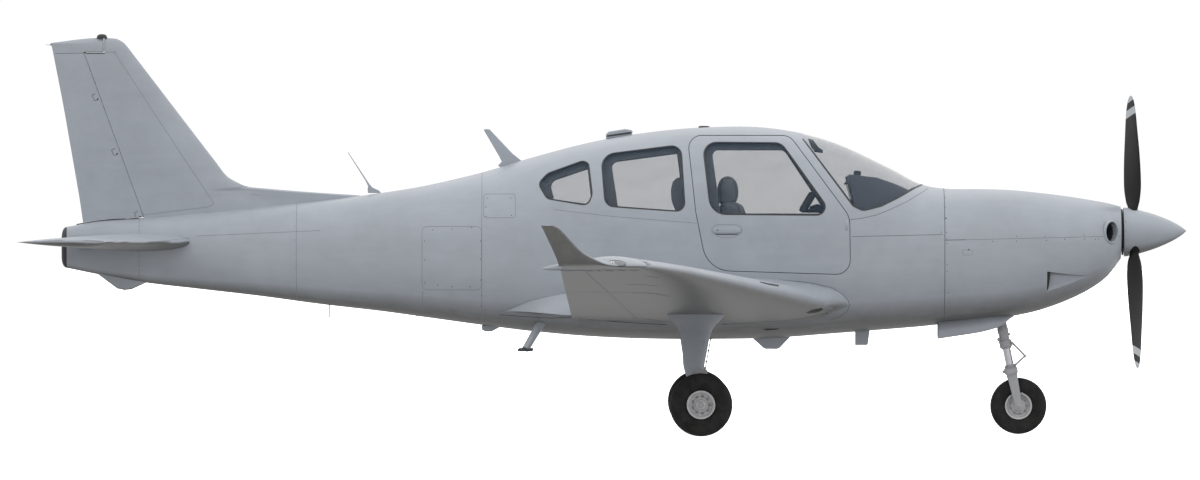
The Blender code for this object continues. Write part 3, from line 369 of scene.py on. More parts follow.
def axisFrame(start, end):
    along = (Vector(end) - Vector(start)).normalized()
    turn = Vector((0, 0, 1)).rotation_difference(along).to_matrix().to_4x4()
    return Matrix.Translation(start) @ turn


def turnedRings(start, end, profile, sides=48):
    place = axisFrame(start, end)
    rings = []
    for along, radius in profile:
        rings.append([
            place @ Vector((radius * math.cos(a), radius * math.sin(a), along))
            for a in circle(sides)
        ])
    return rings


def turned(name, start, end, profile, finish=None, sides=48, smooth=35):
    return loft(name, turnedRings(start, end, profile, sides), finish, smooth)


def turnedInto(bm, start, end, profile, sides=48):
    loftInto(bm, turnedRings(start, end, profile, sides))


def boxInto(bm, low, high):
    loftInto(bm, boxRings(low, high))


def rod(name, start, end, radius, finish=None, sides=32):
    length = (Vector(end) - Vector(start)).length
    return turned(name, start, end, [(0, radius), (length, radius)], finish, sides)


def bevelled(piece, width, segments=2, angle=30):
    # rounds the sharp edges of a piece for good
    modifier = piece.modifiers.new("round", "BEVEL")
    modifier.width = width
    modifier.segments = segments
    modifier.limit_method = "ANGLE"
    modifier.angle_limit = math.radians(angle)
    return bake(piece)


def bake(piece):
    graph = bpy.context.evaluated_depsgraph_get()
    made = bpy.data.meshes.new_from_object(piece.evaluated_get(graph), depsgraph=graph)
    piece.modifiers.clear()
    old = piece.data
    piece.data = made
    bpy.data.meshes.remove(old)
    return piece


def carve(piece, operation, *cutters, solver="EXACT"):
    for cutter in cutters:
        modifier = piece.modifiers.new(operation.lower(), "BOOLEAN")
        modifier.operation = operation
        modifier.solver = solver
        modifier.object = cutter
    bake(piece)
    for cutter in cutters:
        bpy.data.objects.remove(cutter, do_unlink=True)
    return piece


def merged(name, *pieces):
    bm = bmesh.new()
    finishes = []
    for piece in pieces:
        offset = len(bm.faces)
        bm.from_mesh(piece.data)
        bm.faces.ensure_lookup_table()
        for face in bm.faces[offset:]:
            finish = piece.data.materials[face.material_index] if piece.data.materials else None
            if finish not in finishes:
                finishes.append(finish)
            face.material_index = finishes.index(finish)
        bpy.data.objects.remove(piece, do_unlink=True)
    return pieceOf(name, bm, finishes)


def settle(piece, body, slot="body_paint", *nodes):
    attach(piece, body)
    if nodes:
        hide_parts(*nodes)
    return piece


def skinNormals(piece, normalAt, tolerance=0.85):
    # gives cut surfaces the normals of the whole skin that they were cut from
    mesh = piece.data
    normals = [Vector((0, 0, 0))] * len(mesh.loops)
    for polygon in mesh.polygons:
        skin = normalAt(polygon.center)
        if skin is None or abs(skin.dot(polygon.normal)) < tolerance:
            continue
        side = 1 if skin.dot(polygon.normal) > 0 else -1
        for index in polygon.loop_indices:
            found = normalAt(mesh.vertices[mesh.loops[index].vertex_index].co)
            normals[index] = (found or skin) * side
    mesh.normals_split_custom_set(normals)


def surfaceOf(piece):
    mesh = piece.data
    return BVHTree.FromPolygons([v.co for v in mesh.vertices], [p.vertices for p in mesh.polygons])


def skinOf(source):
    # a function that gives the smooth normal of an uncut piece near a point
    mesh = source.data
    tree = surfaceOf(source)
    corners = [c.vector.copy() for c in mesh.corner_normals]
    shapes = []
    for polygon in mesh.polygons:
        points = [mesh.vertices[v].co.copy() for v in polygon.vertices]
        shapes.append((points, list(polygon.loop_indices)))
    bpy.data.objects.remove(source, do_unlink=True)

    def normalAt(point):
        place, normal, index, distance = tree.find_nearest(point, 0.003)
        if index is None:
            return None
        points, loops = shapes[index]
        weights = poly_3d_calc(points, place)
        return sum((corners[loop] * w for loop, w in zip(loops, weights)), Vector((0, 0, 0))).normalized()

    return normalAt


def copyOf(piece):
    return newPiece(piece.name + "Skin", piece.data.copy())


def grimeAndShadeBelow(piece, start=0.50, full=1.0):
    # stores how far each corner faces the ground, where the paint turns darker: partly dirt, partly painted
    # shade on the surfaces that face down
    mesh = piece.data
    layer = mesh.attributes.new("grime", "FLOAT", "CORNER")
    layer.data.foreach_set("value", [
        min(1.0, max(0.0, (-normal.vector.z - start) / (full - start))) for normal in mesh.corner_normals
    ])
    return piece


def rounded(points, radii, steps=8):
    made = []
    for i, corner in enumerate(points):
        radius = radii[i] if isinstance(radii, (list, tuple)) else radii
        here = Vector(corner)
        back = (Vector(points[i - 1]) - here).normalized()
        ahead = (Vector(points[(i + 1) % len(points)]) - here).normalized()
        turn = math.acos(max(-1, min(1, back.dot(ahead))))
        if radius <= 0 or turn > math.radians(170):
            made.append((here.x, here.y))
            continue
        reach = radius / math.tan(turn / 2)
        centre = here + (back + ahead).normalized() * (radius / math.sin(turn / 2))
        first = here + back * reach - centre
        sweep = first.angle_signed(here + ahead * reach - centre)
        for k in range(steps + 1):
            spoke = first.copy()
            spoke.rotate(Matrix.Rotation(-sweep * k / steps, 2))
            made.append((centre.x + spoke.x, centre.y + spoke.y))
    return made


def grown(outline, distance):
    count = len(outline)
    following = outline[1:] + outline[:1]
    area = sum(x1 * z2 - x2 * z1 for (x1, z1), (x2, z2) in zip(outline, following))
    side = 1 if area > 0 else -1
    made = []
    for i in range(count):
        before, here, after = (Vector(outline[k % count]) for k in (i - 1, i, i + 1))
        a = (here - before).normalized()
        b = (after - here).normalized()
        normal = Vector((a.y + b.y, -a.x - b.x)).normalized() * side
        spread = max(0.3, normal.dot(Vector((a.y, -a.x)) * side))
        made.append(tuple(here + normal * distance / spread))
    return made


fuselage = {
    # x, crown height, keel height, half width, height of the widest point, roundness
    "stations": [
        (-3.868, 1.493, 1.196, 0.075, 1.345, 2.2),
        (-3.645, 1.531, 1.150, 0.098, 1.340, 2.2),
        (-3.300, 1.557, 1.090, 0.140, 1.330, 2.2),
        (-2.910, 1.596, 1.044, 0.188, 1.322, 2.25),
        (-2.478, 1.637, 0.994, 0.240, 1.315, 2.3),
        (-2.046, 1.679, 0.936, 0.300, 1.308, 2.35),
        (-1.614, 1.735, 0.886, 0.368, 1.300, 2.4),
        (-1.290, 1.788, 0.842, 0.425, 1.292, 2.4),
        (-0.878, 1.884, 0.785, 0.495, 1.280, 2.4),
        (-0.534, 1.987, 0.742, 0.548, 1.270, 2.4),
        (-0.102, 2.100, 0.704, 0.600, 1.260, 2.4),
        (0.330, 2.174, 0.686, 0.630, 1.250, 2.4),
        (0.762, 2.210, 0.684, 0.640, 1.245, 2.4),
        (1.194, 2.203, 0.691, 0.632, 1.245, 2.4),
        (1.626, 2.110, 0.722, 0.610, 1.250, 2.4),
        (2.058, 1.915, 0.756, 0.580, 1.262, 2.4),
        (2.274, 1.802, 0.774, 0.565, 1.270, 2.4),
        (2.442, 1.768, 0.792, 0.552, 1.275, 2.4),
        (2.706, 1.764, 0.818, 0.528, 1.285, 2.4),
        (2.922, 1.757, 0.846, 0.505, 1.300, 2.4),
        (3.138, 1.736, 0.893, 0.475, 1.320, 2.35),
        (3.354, 1.709, 0.972, 0.434, 1.350, 2.3),
        (3.520, 1.682, 1.058, 0.385, 1.385, 2.25),
        (3.636, 1.660, 1.150, 0.320, 1.420, 2.15),
        (3.718, 1.638, 1.267, 0.215, 1.452, 2.0),
    ],
    "tailEnd": -3.868,
    # rows back from the tail's end, with shares of its width and height
    "tailCap": [
        (0.0003, 0.985, 0.99), (0.012, 0.96, 0.97), (0.024, 0.86, 0.90), (0.034, 0.66, 0.74),
        (0.038, 0.45, 0.55),
    ],
    "tailCapCentre": 1.345,
    "frameBehindCabin": -0.878,
    "firewall": 2.442,
    "cowlFront": 3.718,
    "cabinWall": 0.035,
    "boomWall": 0.012,
    "cowlWall": 0.010,
    "glassWall": 0.006,
    "pointsRound": 112,
    "stationStep": 0.045,
}
gap = 0.0004

# the stations' columns at every 10 mm, so that a section is quick to look up
hullStep = 0.01
hullStart = fuselage["stations"][0][0]
hullCount = int((fuselage["stations"][-1][0] - hullStart) / hullStep) + 1
hullColumns = [
    [catmull(fuselage["stations"], hullStart + i * hullStep, column) for column in range(1, 6)]
    for i in range(hullCount + 1)
]


def hullAt(x):
    place = min(max((x - hullStart) / hullStep, 0), hullCount - 0.001)
    i = int(place)
    t = place - i
    return [a * (1 - t) + b * t for a, b in zip(hullColumns[i], hullColumns[i + 1])]


def hullRing(x, inset=0.0):
    crown, keel, half, wide, roundness = hullAt(x)
    power = 2 / roundness
    ring = []
    count = fuselage["pointsRound"]
    for i in range(count):
        angle = 2 * math.pi * (i + 0.5) / count
        c, s = math.cos(angle), math.sin(angle)
        y = math.copysign(abs(c) ** power, c) * (half - inset)
        reach = (crown - wide - inset) if s > 0 else (wide - keel - inset)
        ring.append(Vector((x, y, wide + math.copysign(abs(s) ** power, s) * reach)))
    return ring


def hullDepth(point):
    crown, keel, half, wide, roundness = hullAt(point.x)
    reach = (crown - wide) if point.z > wide else (wide - keel)
    across, upward = abs(point.y / half), abs((point.z - wide) / reach)
    return (across ** roundness + upward ** roundness) ** (1 / roundness)


def hullNormal(point):
    step = 0.004
    slopes = []
    for axis in (Vector((step * 4, 0, 0)), Vector((0, step, 0)), Vector((0, 0, step))):
        slopes.append((hullDepth(point + axis) - hullDepth(point - axis)) / axis.length)
    return Vector(slopes).normalized()


def hullPoint(x, z, side):
    # the skin's point at x and z on one side
    crown, keel, half, wide, roundness = hullAt(x)
    reach = (crown - wide) if z > wide else (wide - keel)
    share = min(1.0, abs((z - wide) / reach))
    return Vector((x, side * half * (1 - share ** roundness) ** (1 / roundness), z))


def hullShell(name, start, end, wall, finish=paint, outset=0.0):
    xs = spaced(start, end, fuselage["stationStep"])
    rings = [hullRing(x, -outset) for x in xs]
    rings += [hullRing(x, wall - outset) for x in reversed(xs)]
    return loft(name, rings, finish, 50, closed=True)


def ribbonInto(bm, points, normals, width, lift=0.0006, sink=0.002, closed=False):
    # a narrow band that lies on a skin
    rings = []
    count = len(points)
    for i, (point, normal) in enumerate(zip(points, normals)):
        ahead = points[(i + 1) % count] if closed or i < count - 1 else point
        back = points[i - 1] if closed or i else point
        across = (ahead - back).normalized().cross(normal).normalized() * width / 2
        top, foot = normal * lift, normal * -sink
        one, other = point - across, point + across
        rings.append([one + top, other + top, other + foot, one + foot])
    loftInto(bm, rings, closed=closed)


def onHull(outline, side, closed=True, step=0.012):
    # points on the skin along an outline in side view, evenly spaced along the skin
    ends = list(outline) + ([outline[0]] if closed else [])
    made = []
    for (x1, z1), (x2, z2) in zip(ends, ends[1:]):
        for k in range(40):
            point = hullPoint(x1 + (x2 - x1) * k / 40, z1 + (z2 - z1) * k / 40, side)
            if not made or (point - made[-1]).length >= step:
                made.append(point)
    last = hullPoint(*ends[-1], side)
    if not closed:
        made.append(last)
    elif (made[-1] - made[0]).length < step * 0.4:
        made.pop()
    return made


def hullLine(bm, outline, side, width, closed=False, lift=0.0006):
    points = onHull(outline, side, closed)
    ribbonInto(bm, points, [hullNormal(p) for p in points], width, lift, closed=closed)


def hullHoop(bm, x, width, lift=0.0006):
    points = hullRing(x)
    ribbonInto(bm, points, [hullNormal(p) for p in points], width, lift, closed=True)


def studInto(bm, point, normal, radius, height=0.0012):
    place = axisFrame(point, point + normal)
    rings = []
    for share, rise in ((1.0, -0.001), (1.0, height * 0.4), (0.6, height)):
        rings.append([
            place @ Vector((radius * share * math.cos(a), radius * share * math.sin(a), rise))
            for a in circle(8)
        ])
    loftInto(bm, rings)


outlines = {
    "rearWindow": rounded(
        [(-0.474, 1.802), (-0.405, 1.876), (-0.150, 1.968), (-0.112, 1.945),
         (-0.086, 1.722), (-0.118, 1.645), (-0.410, 1.694)],
        [0.05, 0.09, 0.05, 0.03, 0.09, 0.05, 0.05],
    ),
    "middleWindow": rounded(
        [(-0.022, 2.010), (0.550, 2.082), (0.580, 1.600), (0.008, 1.640)],
        [0.10, 0.07, 0.06, 0.07],
    ),
    "doorWindow": rounded(
        [(0.705, 2.100), (1.270, 2.096), (1.640, 1.575), (0.765, 1.582)],
        [0.09, 0.09, 0.06, 0.12],
    ),
    "door": rounded(
        [(0.599, 2.146), (1.330, 2.146), (1.757, 1.563), (1.762, 1.150), (0.741, 1.182), (0.658, 1.600)],
        [0.09, 0.10, 0.16, 0.10, 0.20, 0.60],
    ),
    "doorOpening": rounded(
        [(0.581, 2.152), (1.333, 2.152), (1.763, 1.565), (1.768, 1.144), (0.738, 1.175), (0.649, 1.600)],
        [0.09, 0.10, 0.16, 0.10, 0.20, 0.60],
    ),
    "windshield": rounded(
        [(1.428, 2.123), (1.785, 1.642), (1.855, 1.608), (1.985, 1.641), (2.110, 1.702),
         (2.228, 1.769), (2.280, 1.792), (2.480, 1.900), (1.950, 2.330), (1.470, 2.330)],
        [0.0, 0.05, 0.06, 0, 0, 0, 0, 0, 0, 0],
    ),
}
# the two sides of the aircraft, with the reach along Y of whatever cuts a shape out there
beyond = 1.2
sides = ((-1, "right", -beyond, -0.05), (1, "left", 0.05, beyond))


def makeCabin():
    f = fuselage
    shell = hullShell("cabinShell", f["frameBehindCabin"], f["firewall"], f["cabinWall"])
    cutters = [prism("cut", outlines["windshield"], -beyond, beyond)]
    for side, label, low, high in sides:
        for kind in ("rearWindow", "middleWindow", "doorOpening"):
            cutters.append(prism("cut", outlines[kind], low, high))
    carve(shell, "DIFFERENCE", *cutters)
    skinNormals(shell, hullNormal)
    lineInside(shell)
    settle(grimeAndShadeBelow(shell), "airframe", "body_paint", "cabin_shell")
    for side, label, low, high in sides:
        for kind, node in (("rearWindow", "rear_window_"), ("middleWindow", "middle_window_")):
            makePane(kind + label.title(), kind, low, high, "airframe", node + label)
        door = hullShell("door" + label.title(), 0.5, 1.85, f["cabinWall"])
        carve(door, "INTERSECT", prism("cut", outlines["door"], low, high))
        carve(door, "DIFFERENCE", prism("cut", outlines["doorWindow"], low, high))
        skinNormals(door, hullNormal)
        lineInside(door)
        settle(grimeAndShadeBelow(door), "door_" + label, "body_paint", "door_" + label)
        name = "doorWindow" + label.title()
        makePane(name, "doorWindow", low, high, "door_" + label, "door_window_" + label)
    makePane("windshield", "windshield", -beyond, beyond, "airframe", "windshield")


def lineInside(piece):
    # gives the faces that look into the cabin its lining
    piece.data.materials.append(liningFinish)
    for polygon in piece.data.polygons:
        if hullNormal(polygon.center).dot(polygon.normal) < -0.5:
            polygon.material_index = 1


def makePane(name, kind, low, high, body, node):
    xs = [x for x, z in outlines[kind]]
    pane = hullShell(name, min(xs) - 0.03, max(xs) + 0.03, fuselage["glassWall"], glass)
    carve(pane, "INTERSECT", prism("cut", grown(outlines[kind], -gap), low, high))
    skinNormals(pane, hullNormal)
    settle(pane, body, "window_glass", node)


def makeBoom():
    f = fuselage
    boom = hullShell("tailBoom", f["tailEnd"], f["frameBehindCabin"] - 0.0003, f["boomWall"])
    skinNormals(boom, hullNormal)
    settle(grimeAndShadeBelow(boom), "airframe", "body_paint", "tail_boom")
    rings = []
    centre = f["tailCapCentre"]
    for back, wide, tall in f["tailCap"]:
        rings.append([
            Vector((f["tailEnd"] - back, p.y * wide, centre + (p.z - centre) * tall))
            for p in hullRing(f["tailEnd"])
        ])
    settle(loft("tailEndCap", rings, darkTrim, 50), "airframe", "dark_trim", "tail_end_cap")


makeCabin()
makeBoom()
print("cabin and boom made")


studio = {
    "floorColor": (0.96, 0.96, 0.96),
    "floorReach": 700.0,
    # share of the way from straight down to straight up, brightness
    "sky": [
        (0.0, 0.45), (0.28, 0.50), (0.4920, 0.82), (0.4932, 1.03), (0.5080, 1.03), (0.5100, 0.82),
        (0.66, 1.06), (0.84, 1.54), (1.0, 1.18),
    ],
}


def makeStudio():
    reach = studio["floorReach"]
    floor = box("floor", (-reach, -reach, -0.05), (reach, reach, 0))
    finish = Finish("paleFloor", {"Roughness": 0.9, "Specular IOR Level": 0.1, "Emission Strength": 1.0})
    shadeOf = finish.noise(finish.place(), 0.6, 3.0)
    color = studio["floorColor"]
    finish.feed("Base Color", finish.mix(shadeOf, shade(color, 0.985), shade(color, 1.015)))
    finish.feed("Emission Color", finish.mix(shadeOf, shade(color, 1.0), shade(color, 1.03)))
    floor.data.materials.append(finish.material)
    # the floor throws little light back, as dark ground outdoors does
    floor.visible_diffuse = False
    floor.visible_glossy = False
    world = bpy.data.worlds.new("softSky")
    world.use_nodes = True
    bpy.context.scene.world = world
    tree = world.node_tree
    background = tree.nodes["Background"]
    place = tree.nodes.new("ShaderNodeTexCoord")
    split = tree.nodes.new("ShaderNodeSeparateXYZ")
    ramp = tree.nodes.new("ShaderNodeValToRGB")
    half = tree.nodes.new("ShaderNodeMath")
    half.operation = "MULTIPLY_ADD"
    half.inputs[1].default_value = 0.5
    half.inputs[2].default_value = 0.5
    finish.fillRamp(ramp.color_ramp, studio["sky"])
    tree.links.new(place.outputs["Generated"], split.inputs[0])
    tree.links.new(split.outputs["Z"], half.inputs[0])
    tree.links.new(half.outputs[0], ramp.inputs[0])
    tree.links.new(ramp.outputs[0], background.inputs["Color"])
    bpy.context.scene.view_settings.view_transform = "Standard"


makeStudio()

wing = {
    # leading and trailing edges of the straight panel, at its two ends
    "spans": (0.65, 4.70),
    "leading": (Vector((1.62, 0.65, 0.945)), Vector((0.296, 4.70, 1.246))),
    "trailing": (Vector((-0.232, 0.65, 0.845)), Vector((-0.304, 4.70, 1.192))),
    "innerSpan": 0.20,
    "thickness": 0.14,
    "camber": 0.02,
    "droop": [
        (0.0, 0.0), (3.30, 0.0), (3.90, 0.005), (4.40, 0.017), (4.70, 0.029), (4.86, 0.036), (4.98, 0.038),
        (5.06, 0.020), (5.10, 0.0), (5.3, 0.0),
    ],
    "hinge": 0.76,
    "flap": (0.78, 2.86),
    "aileron": (2.90, 4.58),
    "clearance": 0.008,
    "edge": 0.0012,
    "pointsAlong": 34,
}


def airfoilHeight(x, thickness):
    # half the thickness of a common wing section, at a share x of its chord
    shape = 0.2969 * math.sqrt(x) - 0.1260 * x - 0.3516 * x ** 2 + 0.2843 * x ** 3 - 0.1015 * x ** 4
    return 5 * thickness * shape


def sectionRing(place, thickness=wing["thickness"], points=wing["pointsAlong"]):
    half = []
    for i in range(points + 1):
        x = (1 - math.cos(math.pi * i / points)) / 2
        half.append((x, max(airfoilHeight(x, thickness), wing["edge"])))
    return [place(x, y) for x, y in reversed(half)] + [place(x, -y) for x, y in half[1:]]


def noseDroop(span, fraction):
    # the nose of the section hangs lower towards the tip
    return catmull(wing["droop"], span, 1) * max(0.0, 1 - fraction / 0.45) ** 2


def wingPoint(side, span, fraction, height):
    t = (span - wing["spans"][0]) / (wing["spans"][1] - wing["spans"][0])
    leading = wing["leading"][0].lerp(wing["leading"][1], t)
    trailing = wing["trailing"][0].lerp(wing["trailing"][1], t)
    bow = 4 * wing["camber"] * fraction * (1 - fraction)
    lift = (leading - trailing).length * (height + bow) - noseDroop(span, fraction)
    point = leading.lerp(trailing, fraction) + Vector((0, 0, lift))
    return Vector((point.x, side * point.y, point.z))


def hingeEnds(side, span):
    return [wingPoint(side, s, wing["hinge"], 0) for s in span]


def controlRing(side, span, hingeSpan, grow):
    ends = hingeEnds(side, hingeSpan)
    direction = (ends[1] - ends[0]).normalized()
    hinge = wingPoint(side, span, wing["hinge"], 0)
    if grow:
        tail = [(wing["hinge"], 0.2), (0.84, 0.2), (1.15, 0.2)]
    else:
        tail = [(x, airfoilHeight(x, wing["thickness"])) for x in (0.79, 0.82, 0.86, 0.90, 0.94, 0.98)]
        tail.append((1.0, wing["edge"]))
    # the nose is a true arc about the hinge, and the rest follows the section
    up = (Vector((0, 0, 1)) - direction * direction.z).normalized()
    ahead = side * up.cross(direction) * -1
    skin = wingPoint(side, span, wing["hinge"], airfoilHeight(wing["hinge"], wing["thickness"]))
    nose = (skin - hinge).length + grow
    made = []
    for k in range(17):
        angle = math.pi * k / 16
        made.append(hinge + up * nose * math.cos(angle) + ahead * nose * math.sin(angle))
    for x, y in [(x, -y) for x, y in tail] + [(x, y) for x, y in reversed(tail)]:
        at = span
        for _ in range(3):
            at -= (wingPoint(side, at, x, y) - hinge).dot(direction) / abs(direction.y)
        made.append(wingPoint(side, at, x, y))
    return made


# Root fairing: where its edge lies on the fuselage, x and z, from its tail over the top to its nose
fairing = {
    "top": [
        (-0.757, 0.872), (-0.640, 0.925), (-0.520, 0.972), (-0.390, 1.005), (-0.253, 1.028), (0.000, 1.062),
        (0.300, 1.092), (0.600, 1.115), (0.900, 1.128), (1.262, 1.111), (1.460, 1.085), (1.640, 1.038),
        (1.735, 0.982), (1.767, 0.925),
    ],
    "bottom": [
        (-0.757, 0.866), (-0.600, 0.850), (-0.239, 0.838), (0.050, 0.812), (0.510, 0.787), (0.804, 0.786),
        (1.100, 0.800), (1.392, 0.823), (1.611, 0.866), (1.730, 0.900), (1.767, 0.925),
    ],
    "outerSpan": 0.86,
    "steps": 12,
}


def alongEdge(points, share):
    # the point at a share of the way along a list of points, smoothly
    lengths = [0.0]
    for first, second in zip(points, points[1:]):
        lengths.append(lengths[-1] + (Vector(second) - Vector(first)).length)
    table = [(length, x, z) for length, (x, z) in zip(lengths, points)]
    at = share * lengths[-1]
    return catmull(table, at, 1), catmull(table, at, 2)


def makeFairing(side, label):
    # concave surfaces from the fuselage's skin out to the wing's section
    points = wing["pointsAlong"]
    rings = [[] for _ in range(fairing["steps"] + 1)]
    for upper in (True, False):
        edge = fairing["top"] if upper else fairing["bottom"]
        for i in range(0 if upper else 1, points + 1):
            x = (1 - math.cos(math.pi * (points - i if upper else i) / points)) / 2
            height = max(airfoilHeight(x, wing["thickness"]), wing["edge"]) * (1 if upper else -1)
            outer = wingPoint(side, fairing["outerSpan"], x, height)
            further = wingPoint(side, fairing["outerSpan"] + 0.1, x, height)
            ex, ez = alongEdge(edge, 1 - x)
            inner = hullPoint(ex, ez, side)
            skin = hullNormal(inner)
            inner -= skin * 0.004
            across = outer - inner
            down = across - skin * across.dot(skin)
            outward = (outer - further).normalized()
            for k in range(fairing["steps"] + 1):
                t = k / fairing["steps"]
                a = 2 * t ** 3 - 3 * t * t + 1
                b = t ** 3 - 2 * t * t + t
                c = -2 * t ** 3 + 3 * t * t
                d = t ** 3 - t * t
                fall = 0.8 + (-0.2 if upper else 0.3) * min(1.0, 4 * x) ** 2
                point = inner * a + outer * c + down * fall * b - outward * across.length * 1.2 * d
                rings[k].append(point)
    bm = bmesh.new()
    loftInto(bm, rings)
    nose = [v for v in bm.verts if v.co.x > 1.50]
    for _ in range(8):
        bmesh.ops.smooth_vert(
            bm, verts=nose, factor=0.5, use_axis_x=False, use_axis_y=True, use_axis_z=True,
        )
    settle(grimeAndShadeBelow(fromBmesh("wingFairing" + label.title(), bm, paint, 60)), "airframe")


def makeWings():
    for side, label, low, high in sides:
        spans = [wing["innerSpan"], wing["spans"][0]] + spaced(0.78, wing["spans"][1], 0.16)
        rings = [sectionRing(lambda x, y, s=s: wingPoint(side, s, x, y)) for s in spans]
        panel = loft("wing" + label.title(), rings, paint)
        skin = skinOf(copyOf(panel))
        for kind in ("flap", "aileron"):
            span = wing[kind]
            bay = (span[0] - wing["clearance"], span[1] + wing["clearance"])
            space = loft("cut", [controlRing(side, s, span, wing["clearance"]) for s in bay])
            carve(panel, "DIFFERENCE", space)
            sections = [controlRing(side, s, span, 0) for s in spaced(span[0], span[1], 0.2)]
            surface = loft(kind + label.title(), sections, paint)
            settle(grimeAndShadeBelow(surface, 0.1), f"{kind}_{label}", "body_paint", f"{kind}_{label}")
        skinNormals(panel, skin)
        settle(grimeAndShadeBelow(panel, 0.1), "airframe", "body_paint", "wing_" + label)
        makeFairing(side, label)
        makeTip(side, label)


# x of nose, x of tail, y, z, thickness, lean of the section from upright in degrees
tipStations = [
    (0.296, -0.304, 4.7003, 1.2190, 0.14, 0),
    (0.235, -0.308, 4.86, 1.2300, 0.150, 3),
    (0.150, -0.312, 4.98, 1.2350, 0.140, 8),
    (0.040, -0.318, 5.060, 1.2400, 0.110, 34),
    (-0.070, -0.330, 5.100, 1.2700, 0.085, 62),
    (-0.170, -0.358, 5.130, 1.3330, 0.075, 76),
    (-0.295, -0.420, 5.175, 1.4650, 0.07, 78),
    (-0.345, -0.438, 5.186, 1.4960, 0.05, 78),
]


def makeTip(side, label):
    table = [(i, *row) for i, row in enumerate(tipStations)]
    rings = []
    for step in spaced(0, len(tipStations) - 1, 0.2):
        nose, tail, y, z, thickness, lean = [catmull(table, step, column) for column in range(1, 7)]
        chord = nose - tail
        angle = math.radians(lean)
        up = Vector((0, -side * math.sin(angle), math.cos(angle)))
        flat = max(0.0, 1 - lean / 45)
        slope, bow = 0.027 * flat, 4 * wing["camber"] * flat
        rings.append(sectionRing(
            lambda x, h: Vector((nose - chord * x, side * y, z + slope * (1 - 2 * x) - noseDroop(y, x)))
            + up * chord * (h + bow * x * (1 - x)), thickness,
        ))
    tip = grimeAndShadeBelow(loft("wingTip" + label.title(), rings, paint), 0.0, 0.3)
    settle(tip, "airframe", "body_paint", "wing_tip_" + label)


tail = {
    "height": 1.381,
    "rootSpan": 0.07,
    "tipSpan": 1.66,
    # spans near the tip, with shares of the thickness
    "tipEnds": [(1.60, 0.93), (1.63, 0.80), (1.65, 0.60), (1.66, 0.35)],
    "leading": (-2.940, -3.545),
    "trailing": (-4.120, -4.172),
    "thickness": 0.11,
    "hornSpan": 1.46,
    "elevatorRoot": 0.125,
    "elevatorHinge": -3.775,
    "elevatorNose": 0.039,
    "finHingeTop": Vector((-3.757, 0, 2.738)),
    "finHingeBottom": Vector((-3.331, 0, 1.562)),
    "rudderHorn": (-3.604, 2.747),
    "clearance": 0.006,
}
# height, x of the leading edge, x of the trailing edge, half thickness
finStations = [
    (1.450, -1.700, -3.741, 0.030),
    (1.660, -1.700, -3.772, 0.040),
    (1.714, -1.730, -3.780, 0.046),
    (1.742, -2.110, -3.785, 0.049),
    (1.7655, -2.405, -3.789, 0.052),
    (1.780, -2.557, -3.792, 0.053),
    (1.812, -2.640, -3.797, 0.055),
    (1.857, -2.715, -3.805, 0.056),
    (1.955, -2.793, -3.822, 0.056),
    (2.380, -3.119, -3.897, 0.046),
    (2.774, -3.421, -3.974, 0.036),
    (2.795, -3.438, -3.979, 0.034),
    (2.814, -3.455, -3.983, 0.030),
    (2.827, -3.472, -3.897, 0.026),
    (2.840, -3.497, -3.797, 0.019),
    (2.848, -3.524, -3.720, 0.012),
    (2.852, -3.580, -3.661, 0.006),
]


def stabPoint(side, span, x, y):
    t = (span - tail["rootSpan"]) / (tail["tipSpan"] - tail["rootSpan"])
    leading = tail["leading"][0] * (1 - t) + tail["leading"][1] * t
    trailing = tail["trailing"][0] * (1 - t) + tail["trailing"][1] * t
    height = tail["height"] + (leading - trailing) * y
    return Vector((leading + (trailing - leading) * x, side * span, height))


def stabHalf(name, side, root):
    rings = []
    for span, thin in [(s, 1.0) for s in spaced(root, 1.56, 0.12)] + tail["tipEnds"]:
        rings.append(sectionRing(lambda x, y: stabPoint(side, span, x, y), tail["thickness"] * thin, 26))
    return loft(name, rings, paint)


def roundFront(radius, steps=16):
    turns = [math.pi * k / steps for k in range(steps + 1)]
    return [(radius * math.sin(a), radius * math.cos(a)) for a in turns]


def elevatorSpace(side, grow, root):
    hinge, height = tail["elevatorHinge"], tail["height"]
    outline = [(hinge + x, height + z) for x, z in roundFront(tail["elevatorNose"] + grow)]
    outline += [(hinge, height - 0.3), (-4.5, height - 0.3), (-4.5, height + 0.3), (hinge, height + 0.3)]
    start, end = sorted((side * root, side * (tail["tipSpan"] + 0.1)))
    space = prism("space", outline, start, end)
    start, end = sorted((side * (tail["hornSpan"] - grow), side * (tail["tipSpan"] + 0.1)))
    return carve(space, "UNION", box("horn", (-4.5, start, height - 0.3), (-3.0, end, height + 0.3)))


def makeTailplane():
    halves = []
    for side, label, low, high in sides:
        fixed = stabHalf("stabiliser" + label.title(), side, 0.01)
        skin = skinOf(copyOf(fixed))
        carve(fixed, "DIFFERENCE", elevatorSpace(side, tail["clearance"], 0.0))
        skinNormals(fixed, skin)
        settle(grimeAndShadeBelow(fixed, -0.35, 0.5), "airframe", "body_paint", "stabiliser_" + label)
        moving = stabHalf("half", side, tail["elevatorRoot"])
        skin = skinOf(copyOf(moving))
        carve(moving, "INTERSECT", elevatorSpace(side, 0.0, 0.01))
        skinNormals(moving, skin)
        halves.append(moving)
    centre = Vector((tail["elevatorHinge"], 0, tail["height"]))
    reach = Vector((0, tail["elevatorRoot"] + 0.03, 0))
    for piece, label in zip(halves, ("Right", "Left")):
        piece.name = "elevator" + label
        settle(grimeAndShadeBelow(piece, -0.35, 0.5), "elevator", "body_paint", "elevator")
    tube = rod("elevatorTube", centre - reach, centre + reach, 0.016, gearPaint)
    settle(tube, "elevator", "bare_metal")


